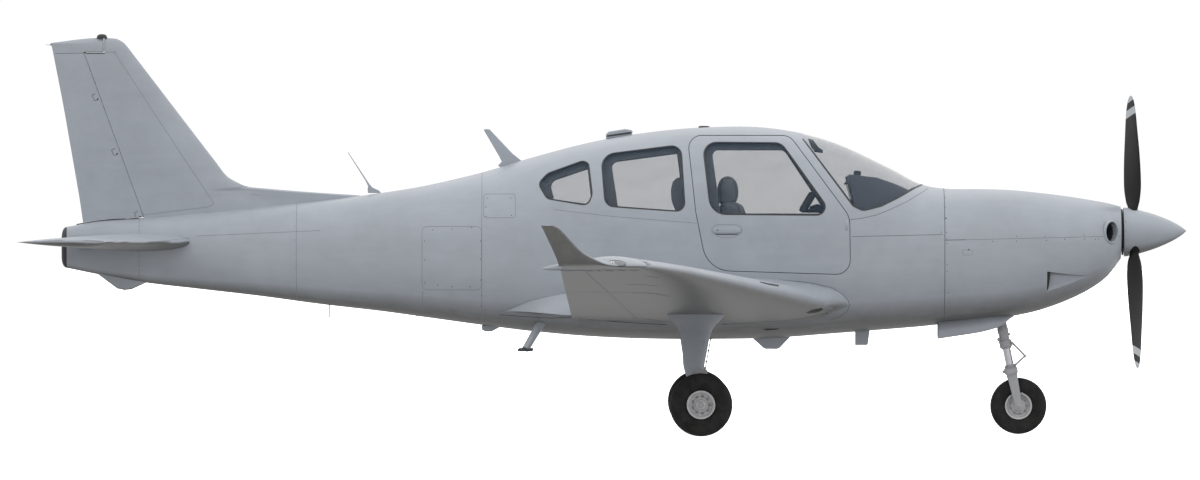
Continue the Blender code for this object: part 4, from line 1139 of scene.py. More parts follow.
def finHeight(at, z):
    # half thickness of the fin, which stands on a thin strake that runs forward along the boom
    leading, trailing, half = [catmull(finStations, z, column) for column in (1, 2, 3)]
    foot, head = finStations[6], finStations[7]
    main = leading
    if z < foot[0]:
        main = min(leading, foot[1] + (foot[0] - z) * (foot[1] - head[1]) / (head[0] - foot[0]))
    if z < 1.86:
        half = max(half, 0.056)
    chord = main - trailing
    share = (main - at) / chord
    body = airfoilHeight(share, 2 * half / chord) * chord if 0 < share <= 1 else 0.0
    reach = leading - main
    if reach < 0.01 or at <= trailing + 0.3:
        return max(body, wing["edge"])
    strake = 0.021 * math.sqrt(min(1.0, max(0.0, (leading - at) / 0.12))) * min(1.0, reach / 0.06)
    slope = min(0.45, reach * 1.5)
    ease = min(1.0, max(0.0, (main + 0.3 * slope - at) / slope))
    return max(strake + max(0.0, body - strake) * ease * ease * (3 - 2 * ease), wing["edge"])


def finSolid(name):
    rings = []
    heights = []
    for (low, *_), (high, *_) in zip(finStations, finStations[1:]):
        heights += spaced(low, high, 0.05 if high - low > 0.15 else (high - low) / 4)[:-1]
    for z in heights + [finStations[-1][0]]:
        leading, trailing = [catmull(finStations, z, column) for column in (1, 2)]
        chord = leading - trailing

        def place(x, y):
            at = leading - chord * x
            return Vector((at, math.copysign(finHeight(at, z), y), z))

        rings.append(sectionRing(place, 0.1, 44))
    return loft(name, rings, paint)


def finHalf(point):
    return finHeight(point.x, min(point.z, 2.80))


def rudderSpace(grow):
    # everything behind a rounded front about the hinge line, and above the horn's foot
    along = (tail["finHingeTop"] - tail["finHingeBottom"]).normalized()
    ahead = Vector((along.z, 0, -along.x))
    across = Vector((0, 1, 0))
    rings = []
    for reach in (-0.1, 0.05, 0.15, 0.25, 0.35, 0.5, 0.7, 0.9, 1.1, 1.25, 1.6):
        centre = tail["finHingeBottom"] + along * reach
        outline = roundFront(finHalf(centre) + grow) + [(0, -0.3), (-0.8, -0.3), (-0.8, 0.3), (0, 0.3)]
        rings.append([centre + ahead * a + across * b for a, b in outline])
    hornX, hornZ = tail["rudderHorn"]
    horn = box("horn", (-4.3, -0.3, hornZ - grow), (hornX + grow * 0.9, 0.3, 3.2))
    return carve(loft("space", rings), "UNION", horn)


def makeFin():
    fixed = finSolid("fin")
    skin = skinOf(copyOf(fixed))
    carve(fixed, "DIFFERENCE", rudderSpace(tail["clearance"]), solver="MANIFOLD")
    skinNormals(fixed, skin)
    settle(grimeAndShadeBelow(fixed), "airframe", "body_paint", "fin")
    moving = finSolid("rudder")
    carve(moving, "INTERSECT", rudderSpace(0.0))
    carve(moving, "DIFFERENCE", hullBlock("cut", -4.2, -2.6, 0.008))
    skinNormals(moving, skin)
    settle(grimeAndShadeBelow(moving), "rudder", "body_paint", "rudder")
    # dark blocks in the slots round the horn and under the rudder: painted shade in the gaps
    hornX, hornZ = tail["rudderHorn"]
    space = tail["clearance"]
    gapShades = bmesh.new()
    boxInto(gapShades, (hornX + 0.0042, -0.004, hornZ - space), (hornX + space * 0.9 + 0.004, 0.004, 2.838))
    boxInto(gapShades, (-3.762, -0.004, hornZ - space - 0.004), (hornX + space, 0.004, hornZ - 0.0028))
    foot = []
    for x in spaced(-3.800, -3.350, 0.03):
        crown = hullAt(x)[0]
        rise = 0.0066 if x < -3.46 else 0.0040
        section = rectangle(-0.003, crown - 0.004, 0.003, crown + rise)
        foot.append([Vector((x, y, z)) for y, z in section])
    loftInto(gapShades, foot)
    settle(fromBmesh("rudderSeals", gapShades, sealantAndGapShade), "airframe", "dark_trim")
    profile = [
        (0, 0.038), (0.008, 0.038), (0.009, 0.035), (0.016, 0.0345), (0.022, 0.030), (0.027, 0.020),
        (0.029, 0.006),
    ]
    dome = turned("beacon", (-3.616, 0, 2.8505), (-3.616, 0, 3.0), profile, darkTrim, 40, 50)
    settle(dome, "airframe", "dark_trim", "beacon")


def hullBlock(name, start, end, outset):
    return loft(name, [hullRing(x, -outset) for x in spaced(start, end, 0.06)])


makeWings()
makeTailplane()
makeFin()
print("wings and tail made")


cowl = {
    "splitAft": (2.40, 1.3937),
    "splitFront": (3.80, 1.4275),
    "noseHole": 0.150,
    # where the inlet's middle lies on the skin, its radius up and down, and its width as a share of that
    "inletPlace": (3.645, 1.454),
    "inletRadius": 0.079,
    "inletWidth": 0.84,
    "scoop": [
        (3.178, 1.171, 1.027, 0.034), (3.260, 1.160, 1.054, 0.023), (3.340, 1.151, 1.083, 0.013),
        (3.420, 1.144, 1.115, 0.005), (3.475, 1.139, 1.134, 0.0005),
    ],
}
engine = {
    "thrustHeight": 1.456,
    "tilt": math.radians(1.0),
    "turn": math.radians(-14),
    "discX": 3.812,
    "spinnerBase": 3.7395,
    "spinner": [
        (0.0, 0.176), (0.030, 0.174), (0.114, 0.156), (0.228, 0.122), (0.345, 0.073), (0.418, 0.030),
        (0.4495, 0.004),
    ],
    # radius, chord, thickness
    "blade": [
        (0.060, 0.066, 0.064), (0.165, 0.070, 0.060), (0.230, 0.118, 0.040), (0.350, 0.176, 0.026),
        (0.560, 0.216, 0.018), (0.740, 0.212, 0.013), (0.885, 0.190, 0.010), (0.950, 0.150, 0.008),
        (0.985, 0.110, 0.006), (1.002, 0.070, 0.005), (1.010, 0.026, 0.004),
    ],
    "bladeEnd": 1.010,
    # distance out, half width along the axis, half width across
    "cuff": [
        (0.055, 0.038, 0.092), (0.108, 0.038, 0.092), (0.132, 0.038, 0.075), (0.150, 0.037, 0.050),
        (0.158, 0.034, 0.036),
    ],
    "advance": 0.318,
    # radii between which the blade is silver
    "silver": ((0.860, 0.916), (0.968, 1.020)),
}


strut = {"axle": Vector((2.982, 0, 0.203)), "lean": math.radians(11.6), "hole": 0.050}
strutLean = Vector((-math.sin(strut["lean"]), 0, math.cos(strut["lean"])))


def strutHole():
    # what the nose strut's passage through the cowl takes away
    axle = strut["axle"]
    return rod("cut", axle + strutLean * 0.4, axle + strutLean * 1.1, strut["hole"], None, 40)


def inletRings(side, profile, sides=64):
    # rings about the inlet's axis; profile is (distance out from the skin, radius)
    centre = hullPoint(*cowl["inletPlace"], side)
    out = hullNormal(centre)
    out = Vector((out.x, out.y, 0)).normalized()
    across = Vector((0, 0, 1)).cross(out)
    rings = []
    for along, radius in profile:
        wide = across * radius * cowl["inletWidth"]
        rings.append([
            centre + out * along + wide * math.cos(a) + Vector((0, 0, radius * math.sin(a)))
            for a in circle(sides)
        ])
    return rings


def scoopRing(side, row, shares):
    # a section across the flush scoop, set in from the skin by shares of its depth, from top to bottom
    x, top, bottom, depth = row
    ring = []
    for down, share in shares:
        z = top - (top - bottom) * down
        ring.append(Vector((x, side * (abs(hullPoint(x, z, side).y) - depth * share - 0.0003), z)))
    return ring


def makeCowl():
    f = fuselage
    (ax, az), (bx, bz) = cowl["splitAft"], cowl["splitFront"]
    for name, node, outline in (
        ("upperCowl", "upper_cowl", [(ax, az + 0.0008), (bx, bz + 0.0008), (bx, 2.0), (ax, 2.0)]),
        ("lowerCowl", "lower_cowl", [(ax, 0.6), (bx, 0.6), (bx, bz - 0.0008), (ax, az - 0.0008)]),
    ):
        xs = spaced(f["firewall"] + 0.0003, f["cowlFront"], 0.03)
        outer = loft(name, [hullRing(x) for x in xs], paint, 50)
        xs = spaced(f["firewall"] - 0.05, f["cowlFront"] - f["cowlWall"], 0.05)
        carve(outer, "DIFFERENCE", loft("cut", [hullRing(x, f["cowlWall"]) for x in xs], darkTrim))
        carve(outer, "INTERSECT", prism("cut", outline, -0.8, 0.8))
        height = engine["thrustHeight"]
        cutters = [rod("cut", (3.5, 0, height), (3.9, 0, height), cowl["noseHole"], None, 64)]
        for side, label, low, high in sides:
            radius = cowl["inletRadius"] - 0.004
            cutters.append(loft("cut", inletRings(side, [(-0.10, radius), (0.12, radius)])))
            if name == "lowerCowl":
                rings = []
                for row in cowl["scoop"]:
                    face = scoopRing(side, row, [(k / 8, 1.05) for k in range(9)])
                    rings.append(face + [point + Vector((0, side * 0.12, 0)) for point in reversed(face)])
                cutters.append(loft("cut", rings))
        if name == "lowerCowl":
            cutters.append(strutHole())
        carve(outer, "DIFFERENCE", *cutters)
        skinNormals(outer, hullNormal, 0.93)
        settle(grimeAndShadeBelow(outer), "airframe", "body_paint", node)
    for side, label, low, high in sides:
        big = cowl["inletRadius"]
        lip = [
            (-0.048, big - 0.007), (-0.004, big - 0.008), (0.003, big - 0.0070), (0.0055, big - 0.004),
            (0.0050, big), (0.0020, big + 0.0045), (-0.004, big + 0.0085), (-0.014, big + 0.0090),
            (-0.014, big), (-0.048, big - 0.003),
        ]
        ring = loft("inletLip" + label.title(), inletRings(side, lip), paint, 70, closed=True)
        settle(grimeAndShadeBelow(ring), "airframe")
        # a near-black cup deep in each inlet: painted shade where the tunnel falls dark
        throat = [
            (-0.130, big - 0.014), (-0.044, big - 0.0075), (-0.044, big - 0.009), (-0.122, big - 0.018),
            (-0.122, 0.001), (-0.130, 0.001),
        ]
        cup = loft("inletThroat" + label.title(), inletRings(side, throat, 48), markAndShadeFinish, 40, closed=True)
        settle(cup, "airframe", "dark_trim")
        rings = []
        for row in cowl["scoop"]:
            face = scoopRing(side, row, [
                (0.0, 0.0), (0.02, 0.55), (0.05, 0.95), (0.25, 1.0), (0.5, 1.0), (0.66, 0.92), (0.80, 0.66),
                (0.92, 0.28), (1.0, 0.0),
            ])
            rings.append(face + [point - Vector((0, side * 0.004, 0)) for point in reversed(face)])
        settle(grimeAndShadeBelow(loft("scoopTray" + label.title(), rings, paint, 50)), "airframe")
        # a near-black sheet in the slot at the scoop's aft end: painted shade in the opening
        dark = hullShell("scoopSlot" + label.title(), 3.15, 3.23, 0.002, markAndShadeFinish, -0.004)
        mouth = [
            (3.1790, 1.1695), (3.2015, 1.1660), (3.1975, 1.120), (3.1900, 1.060), (3.1840, 1.038),
            (3.1790, 1.036),
        ]
        carve(dark, "INTERSECT", prism("cut", mouth, low, high))
        settle(dark, "airframe", "dark_trim")
    makeExit()


def makeExit():
    # the lip under the cowl that lets the cooling air out
    table = [
        (2.402, 0.687), (2.540, 0.7075), (2.712, 0.735), (2.796, 0.757), (2.835, 0.769), (2.880, 0.798),
        (2.928, 0.837), (2.954, 0.850),
    ]
    rings = {0.0: [], 0.010: []}
    for wall, made in rings.items():
        for x in spaced(2.402, 2.945, 0.03):
            low = catmull(table, x, 1) + wall * 1.1
            half = 0.200 - wall - 0.10 * max(0.0, (x - 2.75) / 0.195) ** 2
            outline = rounded(rectangle(-half, low, half, 0.93), [0.014, 0.014, 0, 0], 6)
            made.append([Vector((x - 0.06 * (wall > 0), y, z)) for y, z in outline])
    duct = loft("cowlExit", rings[0.0], paint, 30)
    carve(duct, "DIFFERENCE", loft("cut", rings[0.010], darkTrim))
    carve(duct, "DIFFERENCE", hullBlock("cut", 2.2, 3.2, -0.004))
    carve(duct, "DIFFERENCE", strutHole())
    settle(grimeAndShadeBelow(duct, 0.8), "airframe", "body_paint", "cowl_exit")


def oval(centre, first, second, count=48):
    return [centre + first * math.cos(a) + second * math.sin(a) for a in circle(count)]


def makePropeller():
    axis = Vector((math.cos(engine["tilt"]), 0, math.sin(engine["tilt"])))
    hub = Vector((engine["discX"], 0, engine["thrustHeight"]))
    up = Vector((-axis.z, 0, axis.x))
    up.rotate(Matrix.Rotation(engine["turn"], 3, axis))
    across = axis.cross(up)
    base = hub - axis * (engine["discX"] - engine["spinnerBase"])
    profile = [(0, 0.05)]
    for at in spaced(0, engine["spinner"][-1][0], 0.012):
        profile.append((at, catmull(engine["spinner"], at, 1)))
    spinner = turned("spinner", base, base + axis, profile, paint, 96)
    cutters = []
    for hand in (-1, 1):
        cutters.append(loft("cut", [
            oval(hub + up * hand * reach, axis * 0.042, across * 0.098) for reach in (0.06, 0.30)
        ]))
    carve(spinner, "DIFFERENCE", *cutters)
    settle(grimeAndShadeBelow(spinner), "propeller", "body_paint", "spinner")
    screws = bmesh.new()
    for k in range(16):
        angle = 2 * math.pi * (k + 0.5) / 16
        out = up * math.cos(angle) + across * math.sin(angle)
        studInto(screws, base + axis * 0.012 + out * 0.1752, out, 0.0032)
    settle(fromBmesh("spinnerScrews", screws, fastenerFinish), "propeller", "bare_metal")

    bm = bmesh.new()
    for hand in (-1, 1):
        rings = []
        for radius in sorted({*spaced(0.060, engine["bladeEnd"], 0.012), 0.860, 0.916, 0.968, 1.006}):
            chord = max(0.02, catmull(engine["blade"], radius, 1))
            thick = catmull(engine["blade"], radius, 2)
            pitch = math.atan(engine["advance"] / max(radius, 0.2))
            flat = min(1.0, max(0.0, (radius - 0.16) / 0.12))
            chordwise = (axis * math.sin(pitch) + across * hand * math.cos(pitch))
            normal = (axis * math.cos(pitch) - across * hand * math.sin(pitch))
            ring = []
            for k in range(32):
                a = 2 * math.pi * k / 32
                along = math.cos(a)
                lift = math.sin(a) * (1 + 0.35 * flat * along) + 0.35 * flat * (1 - along * along)
                spot = hub + up * hand * radius
                ring.append(spot + chordwise * chord / 2 * along + normal * thick / 2 * lift)
            rings.append(ring)
        loftInto(bm, rings)
        # the root's cuff, which fills the slot in the spinner
        cuff = []
        for reach, wide, deep in engine["cuff"]:
            cuff.append(oval(hub + up * hand * reach, axis * wide, across * deep))
        loftInto(bm, cuff)
    profile = [(0, 0.05), (0, 0.072), (0.120, 0.072), (0.130, 0.060), (0.130, 0.02)]
    turnedInto(bm, hub - axis * 0.055, hub, profile)
    blades = fromBmesh("propellerBlades", bm, bladeBlack, 50)
    blades.data.materials.append(bladeSilver)
    for polygon in blades.data.polygons:
        reach = abs((polygon.center - hub).dot(up))
        if any(low < reach < high for low, high in engine["silver"]):
            polygon.material_index = 1
    settle(blades, "propeller", "blade_black", "propeller")

    # the toothed starter ring between cowl and spinner
    ring = bmesh.new()
    start = base - axis * 0.0165
    profile = [(0, 0.090), (0, 0.158), (0.011, 0.158), (0.011, 0.090)]
    loftInto(ring, turnedRings(start, start + axis, profile, 96), closed=True)
    for k in range(72):
        angle = 2 * math.pi * k / 72
        out = up * math.cos(angle) + across * math.sin(angle)
        sideways = axis.cross(out)
        tooth = []
        for at, half in ((0.156, 0.0042), (0.166, 0.0026)):
            middle = start + out * at
            tooth.append([middle + axis * a + sideways * b for a, b in (
                (0.0005, -half), (0.0005, half), (0.0105, half), (0.0105, -half),
            )])
        loftInto(ring, tooth)
    settle(fromBmesh("starterRing", ring, darkTrim), "propeller", "dark_trim")


makeCowl()
makePropeller()
print("nose made")

wheels = {
    # centre, outer radius, width, rim radius
    "mainRight": (Vector((0.688, -1.45, 0.2245)), 0.2245, 0.155, 0.102),
    "mainLeft": (Vector((0.688, 1.45, 0.2245)), 0.2245, 0.155, 0.102),
    "nose": (strut["axle"], 0.203, 0.135, 0.0975),
}
# height, front x, rear x, y, half thickness
legStations = [
    (0.195, 0.712, 0.664, 1.325, 0.018),
    (0.300, 0.715, 0.640, 1.315, 0.021),
    (0.460, 0.710, 0.580, 1.277, 0.024),
    (0.587, 0.730, 0.567, 1.236, 0.028),
    (0.759, 0.771, 0.529, 1.178, 0.036),
    (0.850, 0.849, 0.456, 1.148, 0.052),
    (0.930, 0.905, 0.405, 1.125, 0.066),
]


def revolvedRings(centre, profile, count=96):
    # a ring about the wheel's axis; profile is (distance along Y, radius)
    return [
        [Vector((centre.x + r * math.cos(a), centre.y + y, centre.z + r * math.sin(a))) for y, r in profile]
        for a in circle(count)
    ]


def tyreProfile(radius, width, rim):
    half = width / 2
    rise = radius - rim
    table = [
        (0.0, 0.62, 0.0), (1.0, 0.70, 0.04), (2.0, 0.84, 0.16), (3.0, 0.96, 0.36), (4.0, 1.0, 0.58),
        (5.0, 0.95, 0.78), (6.0, 0.80, 0.92),
    ]
    side = [(catmull(table, t, 1) * half, rim + catmull(table, t, 2) * rise) for t in spaced(0, 6, 0.34)]
    crown = []
    grooves = (0.20, 0.45)
    for share in spaced(0.78, 0.0, 0.026):
        drop = rise * 0.08 * (share / 0.80) ** 2.2
        cutIn = 0.0055 if any(abs(share - g) < 0.030 for g in grooves) else 0.0
        crown.append((share * half, radius - drop - cutIn))
    outer = side + crown
    return outer + [(-y, r) for y, r in reversed(outer[:-1])]


def makeWheel(key, body, hubNode, tyreNode):
    centre, radius, width, rim = wheels[key]
    name = key[0].upper() + key[1:]
    rings = revolvedRings(centre, tyreProfile(radius, width, rim + 0.0003), 128)
    tyre = loft("tyre" + name, rings, tyreRubber, 32, closed=True)
    settle(tyre, body, "tyre_rubber", tyreNode)
    half = width * 0.4
    bore = 0.0185
    side = [
        (half * 1.12, bore), (half * 1.12, 0.020), (half * 1.08, 0.024), (half * 0.96, 0.026),
        (half * 0.90, 0.034), (half * 0.52, 0.042), (half * 0.46, 0.050), (half * 0.46, 0.70 * rim),
        (half * 0.52, 0.76 * rim), (half * 0.86, 0.83 * rim), (half * 0.98, 0.90 * rim),
        (half * 1.00, 0.985 * rim), (half * 0.93, 1.0 * rim), (half * 0.80, 1.0 * rim),
    ]
    rings = revolvedRings(centre, side + [(-y, r) for y, r in reversed(side)], 108)
    hub = loft("hub" + name, rings, castMetal, 30, closed=True)
    cutters = bmesh.new()
    for hand in (-1, 1):
        for k in range(9):
            angle = 2 * math.pi * k / 9
            out = Vector((math.cos(angle), 0, math.sin(angle)))
            sideways = Vector((-math.sin(angle), 0, math.cos(angle)))
            pocket = rounded([
                (0.051, -0.0085), (0.68 * rim, -0.0135), (0.68 * rim, 0.0135), (0.051, 0.0085),
            ], 0.0045, 4)
            rings = []
            for depth in (half * 0.05, half * 0.9):
                base = centre + Vector((0, hand * depth, 0))
                rings.append([base + out * a + sideways * b for a, b in pocket])
            loftInto(cutters, rings)
    carve(hub, "DIFFERENCE", fromBmesh("cut", cutters, darkTrim))
    settle(hub, body, "bare_metal", hubNode)
    bolts = bmesh.new()
    for hand in (-1, 1):
        facing = Vector((0, hand, 0))
        for k in range(9):
            angle = 2 * math.pi * (k + 0.5) / 9
            out = Vector((math.cos(angle), 0, math.sin(angle)))
            spot = centre + out * 0.058 + facing * half * 0.46
            bolt = [(-0.002, 0.0065), (0.004, 0.0065), (0.0055, 0.005), (0.009, 0.005)]
            turnedInto(bolts, spot, spot + facing, bolt, 6)
        spot = centre + facing * half * 1.06
        cap = [(0, 0.0215), (0.006, 0.0215), (0.010, 0.017), (0.012, 0.006)]
        turnedInto(bolts, spot, spot + facing, cap, 32)
    valve = centre + Vector((0.072, 0, 0.0))
    turnedInto(bolts, valve, valve + Vector((0, -1, 0)), [(half * 0.4, 0.003), (half * 0.95, 0.003)], 10)
    settle(fromBmesh("hubFittings" + name, bolts, gearPaint, 30), body, "bare_metal")


def makeMainGear():
    for side, label, low, high in sides:
        rings = []
        for z in spaced(legStations[0][0], legStations[-1][0], 0.022):
            front, rear, y, half = [catmull(legStations, z, column) for column in (1, 2, 3, 4)]
            chord = front - rear
            rings.append(sectionRing(
                lambda x, h: Vector((front - chord * x, side * y + chord * h, z)), 2 * half / chord, 20,
            ))
        leg = loft("mainLeg" + label.title(), rings, paint)
        settle(grimeAndShadeBelow(leg), "airframe", "body_paint", "main_leg_" + label)
        centre = wheels["main" + label.title()][0]
        bm = bmesh.new()
        inner, outer = centre - Vector((0, side * 0.135, 0)), centre + Vector((0, side * 0.075, 0))
        turnedInto(bm, inner, outer, [(0, 0.018), (0.21, 0.018)], 32)
        start, end = sorted((side * 1.262, side * 1.342))
        boxInto(bm, (0.640, start, 0.441), (0.735, end, 0.473))
        start, end = sorted((side * 1.317, side * 1.341))
        boxInto(bm, (0.672, start, 0.4362), (0.728, end, 0.456))
        bracket = bevelled(fromBmesh("axle" + label.title(), bm, gearPaint), 0.003)
        settle(bracket, "airframe", "bare_metal")
        disc = [(0, 0.030), (0, 0.084), (0.006, 0.086), (0.012, 0.084), (0.012, 0.030)]
        spot = centre - Vector((0, side * 0.088, 0))
        rings = turnedRings(spot, spot + Vector((0, side, 0)), disc, 64)
        brake = loft("brakeDisc" + label.title(), rings, polished, 30, closed=True)
        settle(brake, "main_wheel_" + label, "bare_metal")
        low, high = sorted((side * (abs(centre.y) - 0.112), side * (abs(centre.y) - 0.089)))
        corner = (centre.x - 0.100, low, centre.z - 0.028)
        other = (centre.x - 0.048, high, centre.z + 0.030)
        caliper = box("caliper" + label.title(), corner, other, gearPaint)
        settle(bevelled(caliper, 0.006, 3), "airframe", "bare_metal")
        # brake hose down the front of the leg, in clips
        hose = bmesh.new()
        path = []
        for z in spaced(0.690, 0.250, 0.02):
            front, y = catmull(legStations, z, 1), catmull(legStations, z, 3)
            path.append(Vector((front + 0.010, side * y, z)))
        for first, second in zip(path, path[1:]):
            turnedInto(hose, first, second, [(0, 0.0035), ((second - first).length, 0.0035)], 8)
        for spot in path[::4]:
            turnedInto(hose, spot - Vector((0, 0, 0.004)), spot, [(0, 0.0075), (0.008, 0.0075)], 10)
        settle(fromBmesh("brakeHose" + label.title(), hose, darkTrim), "airframe", "dark_trim")
        makeWheel("main" + label.title(), "main_wheel_" + label, "hub_main_" + label, "tyre_main_" + label)


def pinInto(bm, spot, half, end, radius, count):
    # a pin across the aircraft, with chamfered ends
    reach = Vector((0, half, 0))
    profile = [(0, end), (0.003, radius), (2 * half - 0.003, radius), (2 * half, end)]
    turnedInto(bm, spot - reach, spot + reach, profile, count)


def makeNoseGear():
    axle, lean = strut["axle"], strutLean
    ahead = Vector((lean.z, 0, -lean.x))
    across = Vector((0, 1, 0))
    low = axle + lean * 0.420
    tube = turned("noseStrut", axle, axle + lean, [
        (0.420, 0.034), (0.424, 0.0385), (0.433, 0.0385), (0.437, 0.036), (0.485, 0.036), (0.530, 0.036),
        (0.540, 0.040), (0.566, 0.040), (0.572, 0.037), (0.640, 0.037), (0.650, 0.041), (0.690, 0.041),
        (0.700, 0.037), (0.98, 0.037),
    ], gearPaint, 48)
    cutTop = box("cut", (2.0, -0.5, 1.17), (3.5, 0.5, 1.6))
    carve(tube, "DIFFERENCE", cutTop, rod("cut", low - lean * 0.05, low + lean * 0.16, 0.029, None, 48))
    lugs = bmesh.new()
    pinInto(lugs, low + lean * 0.075 - ahead * 0.040, 0.022, 0.012, 0.0145, 24)
    for reach in (0.10, 0.215):
        spot = low + lean * reach + ahead * 0.036
        turnedInto(lugs, spot, spot + ahead, [(-0.006, 0.009), (0.008, 0.009), (0.011, 0.006)], 6)
    whole = merged("noseStrutWhole", tube, fromBmesh("lugs", lugs, gearPaint))
    settle(whole, "airframe", "bare_metal", "nose_strut")

    collar = turned("collar", low, low + lean, [
        (0.0135, 0.0385), (0.0135, 0.044), (0.017, 0.0465), (0.030, 0.0465), (0.034, 0.0445),
        (0.044, 0.0445), (0.048, 0.0465), (0.058, 0.0465), (0.0615, 0.044), (0.0615, 0.0385),
    ], gearPaint, 48)
    carve(collar, "DIFFERENCE", rod("cut", low - lean * 0.05, low + lean * 0.2, 0.0376, None, 48))
    links = bmesh.new()
    front = low + lean * 0.034 + ahead * 0.048
    apex = low + ahead * 0.120 - lean * 0.078
    head = axle + lean * 0.242
    foot = head + lean * 0.052 + ahead * 0.038
    for start, end, wide, narrow in ((front, apex, 0.026, 0.011), (foot, apex, 0.028, 0.011)):
        for hand in (-1, 1):
            run = (end - start).normalized()
            thick = run.cross(across)
            rings = []
            section = rectangle(-0.0045, -0.007, 0.0045, 0.007)
            for t in spaced(0, 1, 0.2):
                middle = start.lerp(end, t) + across * hand * (wide * (1 - t) + narrow * t)
                rings.append([middle + across * a + thick * b for a, b in section])
            loftInto(links, rings)
        middle = start.lerp(end, 0.52)
        tie = [(0, 0.005), (0.038, 0.005)]
        turnedInto(links, middle - across * 0.019, middle + across * 0.019, tie, 12)
        pinInto(links, start, 0.036, 0.007, 0.010, 20)
    pinInto(links, apex, 0.021, 0.006, 0.0095, 20)
    whole = merged("steeringCollar", collar, fromBmesh("torqueLinks", links, gearPaint))
    settle(whole, "nose_leg", "bare_metal", "steering_collar")

    piston = turned("piston", axle, axle + lean, [(0.265, 0.0285), (0.565, 0.0285)], polished, 48)
    settle(piston, "nose_leg", "bare_metal")
    yoke = []
    for reach, front, rear, half in (
        (0.234, 0.040, -0.040, 0.094), (0.240, 0.046, -0.047, 0.101), (0.272, 0.046, -0.049, 0.101),
        (0.285, 0.040, -0.043, 0.090),
    ):
        outline = rounded([(front, -half), (front, half), (rear, half), (rear, -half)], 0.020, 5)
        yoke.append([axle + lean * reach + ahead * a + across * b for a, b in outline])
    fork = loft("noseFork", yoke, gearPaint, 30)
    boss = [(0.270, 0.046), (0.290, 0.042), (0.302, 0.036), (0.304, 0.030)]
    others = [turned("boss", axle, axle + lean, boss, gearPaint, 40)]
    for hand in (-1, 1):
        leg = []
        for reach, front, rear in (
            (0.265, 0.040, -0.040), (0.20, 0.034, -0.036), (0.10, 0.030, -0.031), (0.03, 0.028, -0.028),
            (0.0, 0.027, -0.027), (-0.018, 0.021, -0.021), (-0.028, 0.010, -0.010),
        ):
            corners = [(front, -0.0105), (front, 0.0105), (rear, 0.0105), (rear, -0.0105)]
            spot = axle + lean * reach + across * hand * 0.087
            leg.append([spot + ahead * a + across * b for a, b in rounded(corners, 0.004, 3)])
        others.append(loft("forkLeg", leg, gearPaint, 30))
    carve(fork, "UNION", *others)
    settle(fork, "nose_leg", "bare_metal", "nose_fork")
    pins = bmesh.new()
    profile = [
        (0, 0.009), (0.004, 0.0165), (0.009, 0.0165), (0.009, 0.018), (0.203, 0.018), (0.203, 0.0165),
        (0.208, 0.0165), (0.212, 0.009),
    ]
    turnedInto(pins, axle - across * 0.106, axle + across * 0.106, profile, 24)
    pinInto(pins, head - ahead * 0.053 + lean * 0.019, 0.05, 0.008, 0.011, 24)
    settle(fromBmesh("noseAxle", pins, gearPaint), "nose_leg", "bare_metal")
    makeWheel("nose", "nose_wheel", "hub_nose", "tyre_nose")


makeMainGear()
makeNoseGear()
print("landing gear made")


def seen(px, py, reach=0.6):
    # x and z in metres of a pixel of the photograph, at a distance from the middle plane
    near = 1 - reach / view["distance"]
    size = view["metresPerPixel"]
    x = (px - view["pixelsAcross"] / 2) * near * size + view["centre"][0]
    return x, (view["pixelsDown"] / 2 - py) * near * size + view["centre"][1]


def allSeen(pixels, reach=0.6):
    return [seen(px, py, reach) for px, py in pixels]


def skinTree(*names):
    # the painted surfaces, to find where a pixel of the photograph lies on them
    points, faces = [], []
    for piece in bpy.context.scene.objects:
        if piece.type == "MESH" and any(piece.name.startswith(name) for name in names):
            offset = len(points)
            points += [v.co.copy() for v in piece.data.vertices]
            faces += [[offset + v for v in p.vertices] for p in piece.data.polygons]
    return BVHTree.FromPolygons(points, faces)


def onSkin(tree, px, py):
    eye = Vector((view["centre"][0], -view["distance"], view["centre"][1]))
    x, z = seen(px, py, 0)
    ahead = (Vector((x, 0, z)) - eye).normalized()
    place, normal, index, distance = tree.ray_cast(eye, ahead)
    if place is None:
        return None
    return place, normal if normal.dot(ahead) < 0 else -normal


def mirrored(point, side):
    return Vector((point.x, -side * point.y, point.z))


def traced(tree, line, side, step=1.6):
    # the points and normals on the skin along a line of pixels
    points, normals = [], []
    for (x1, y1), (x2, y2) in zip(line, line[1:]):
        count = max(1, round(math.hypot(x2 - x1, y2 - y1) / step))
        for k in range(count + 1):
            found = onSkin(tree, x1 + (x2 - x1) * k / count, y1 + (y2 - y1) * k / count)
            if found and (not points or (mirrored(found[0], side) - points[-1]).length > 0.002):
                points.append(mirrored(found[0], side))
                normals.append(mirrored(found[1], side))
    return points, normals


def lineOnSkin(bm, tree, line, side, width, lift=0.0006):
    points, normals = traced(tree, line, side)
    if len(points) > 1:
        ribbonInto(bm, points, normals, width, lift)


def patchOnSkin(bm, tree, outline, side, step=0.4):
    # fills a patch with lines side by side, so that it follows the skin
    heights = [py for px, py in outline]
    for py in spaced(min(heights) + step / 2, max(heights) - step / 2, step):
        crossed = []
        for (x1, y1), (x2, y2) in zip(outline, outline[1:] + outline[:1]):
            if (y1 - py) * (y2 - py) < 0:
                crossed.append(x1 + (x2 - x1) * (py - y1) / (y2 - y1))
        if len(crossed) == 2:
            width = step * view["metresPerPixel"] * 1.35
            lineOnSkin(bm, tree, [(x, py) for x in sorted(crossed)], side, width)


def panelLine(corners, radius):
    line = rounded(corners, radius, 4)
    return line + [line[0]]


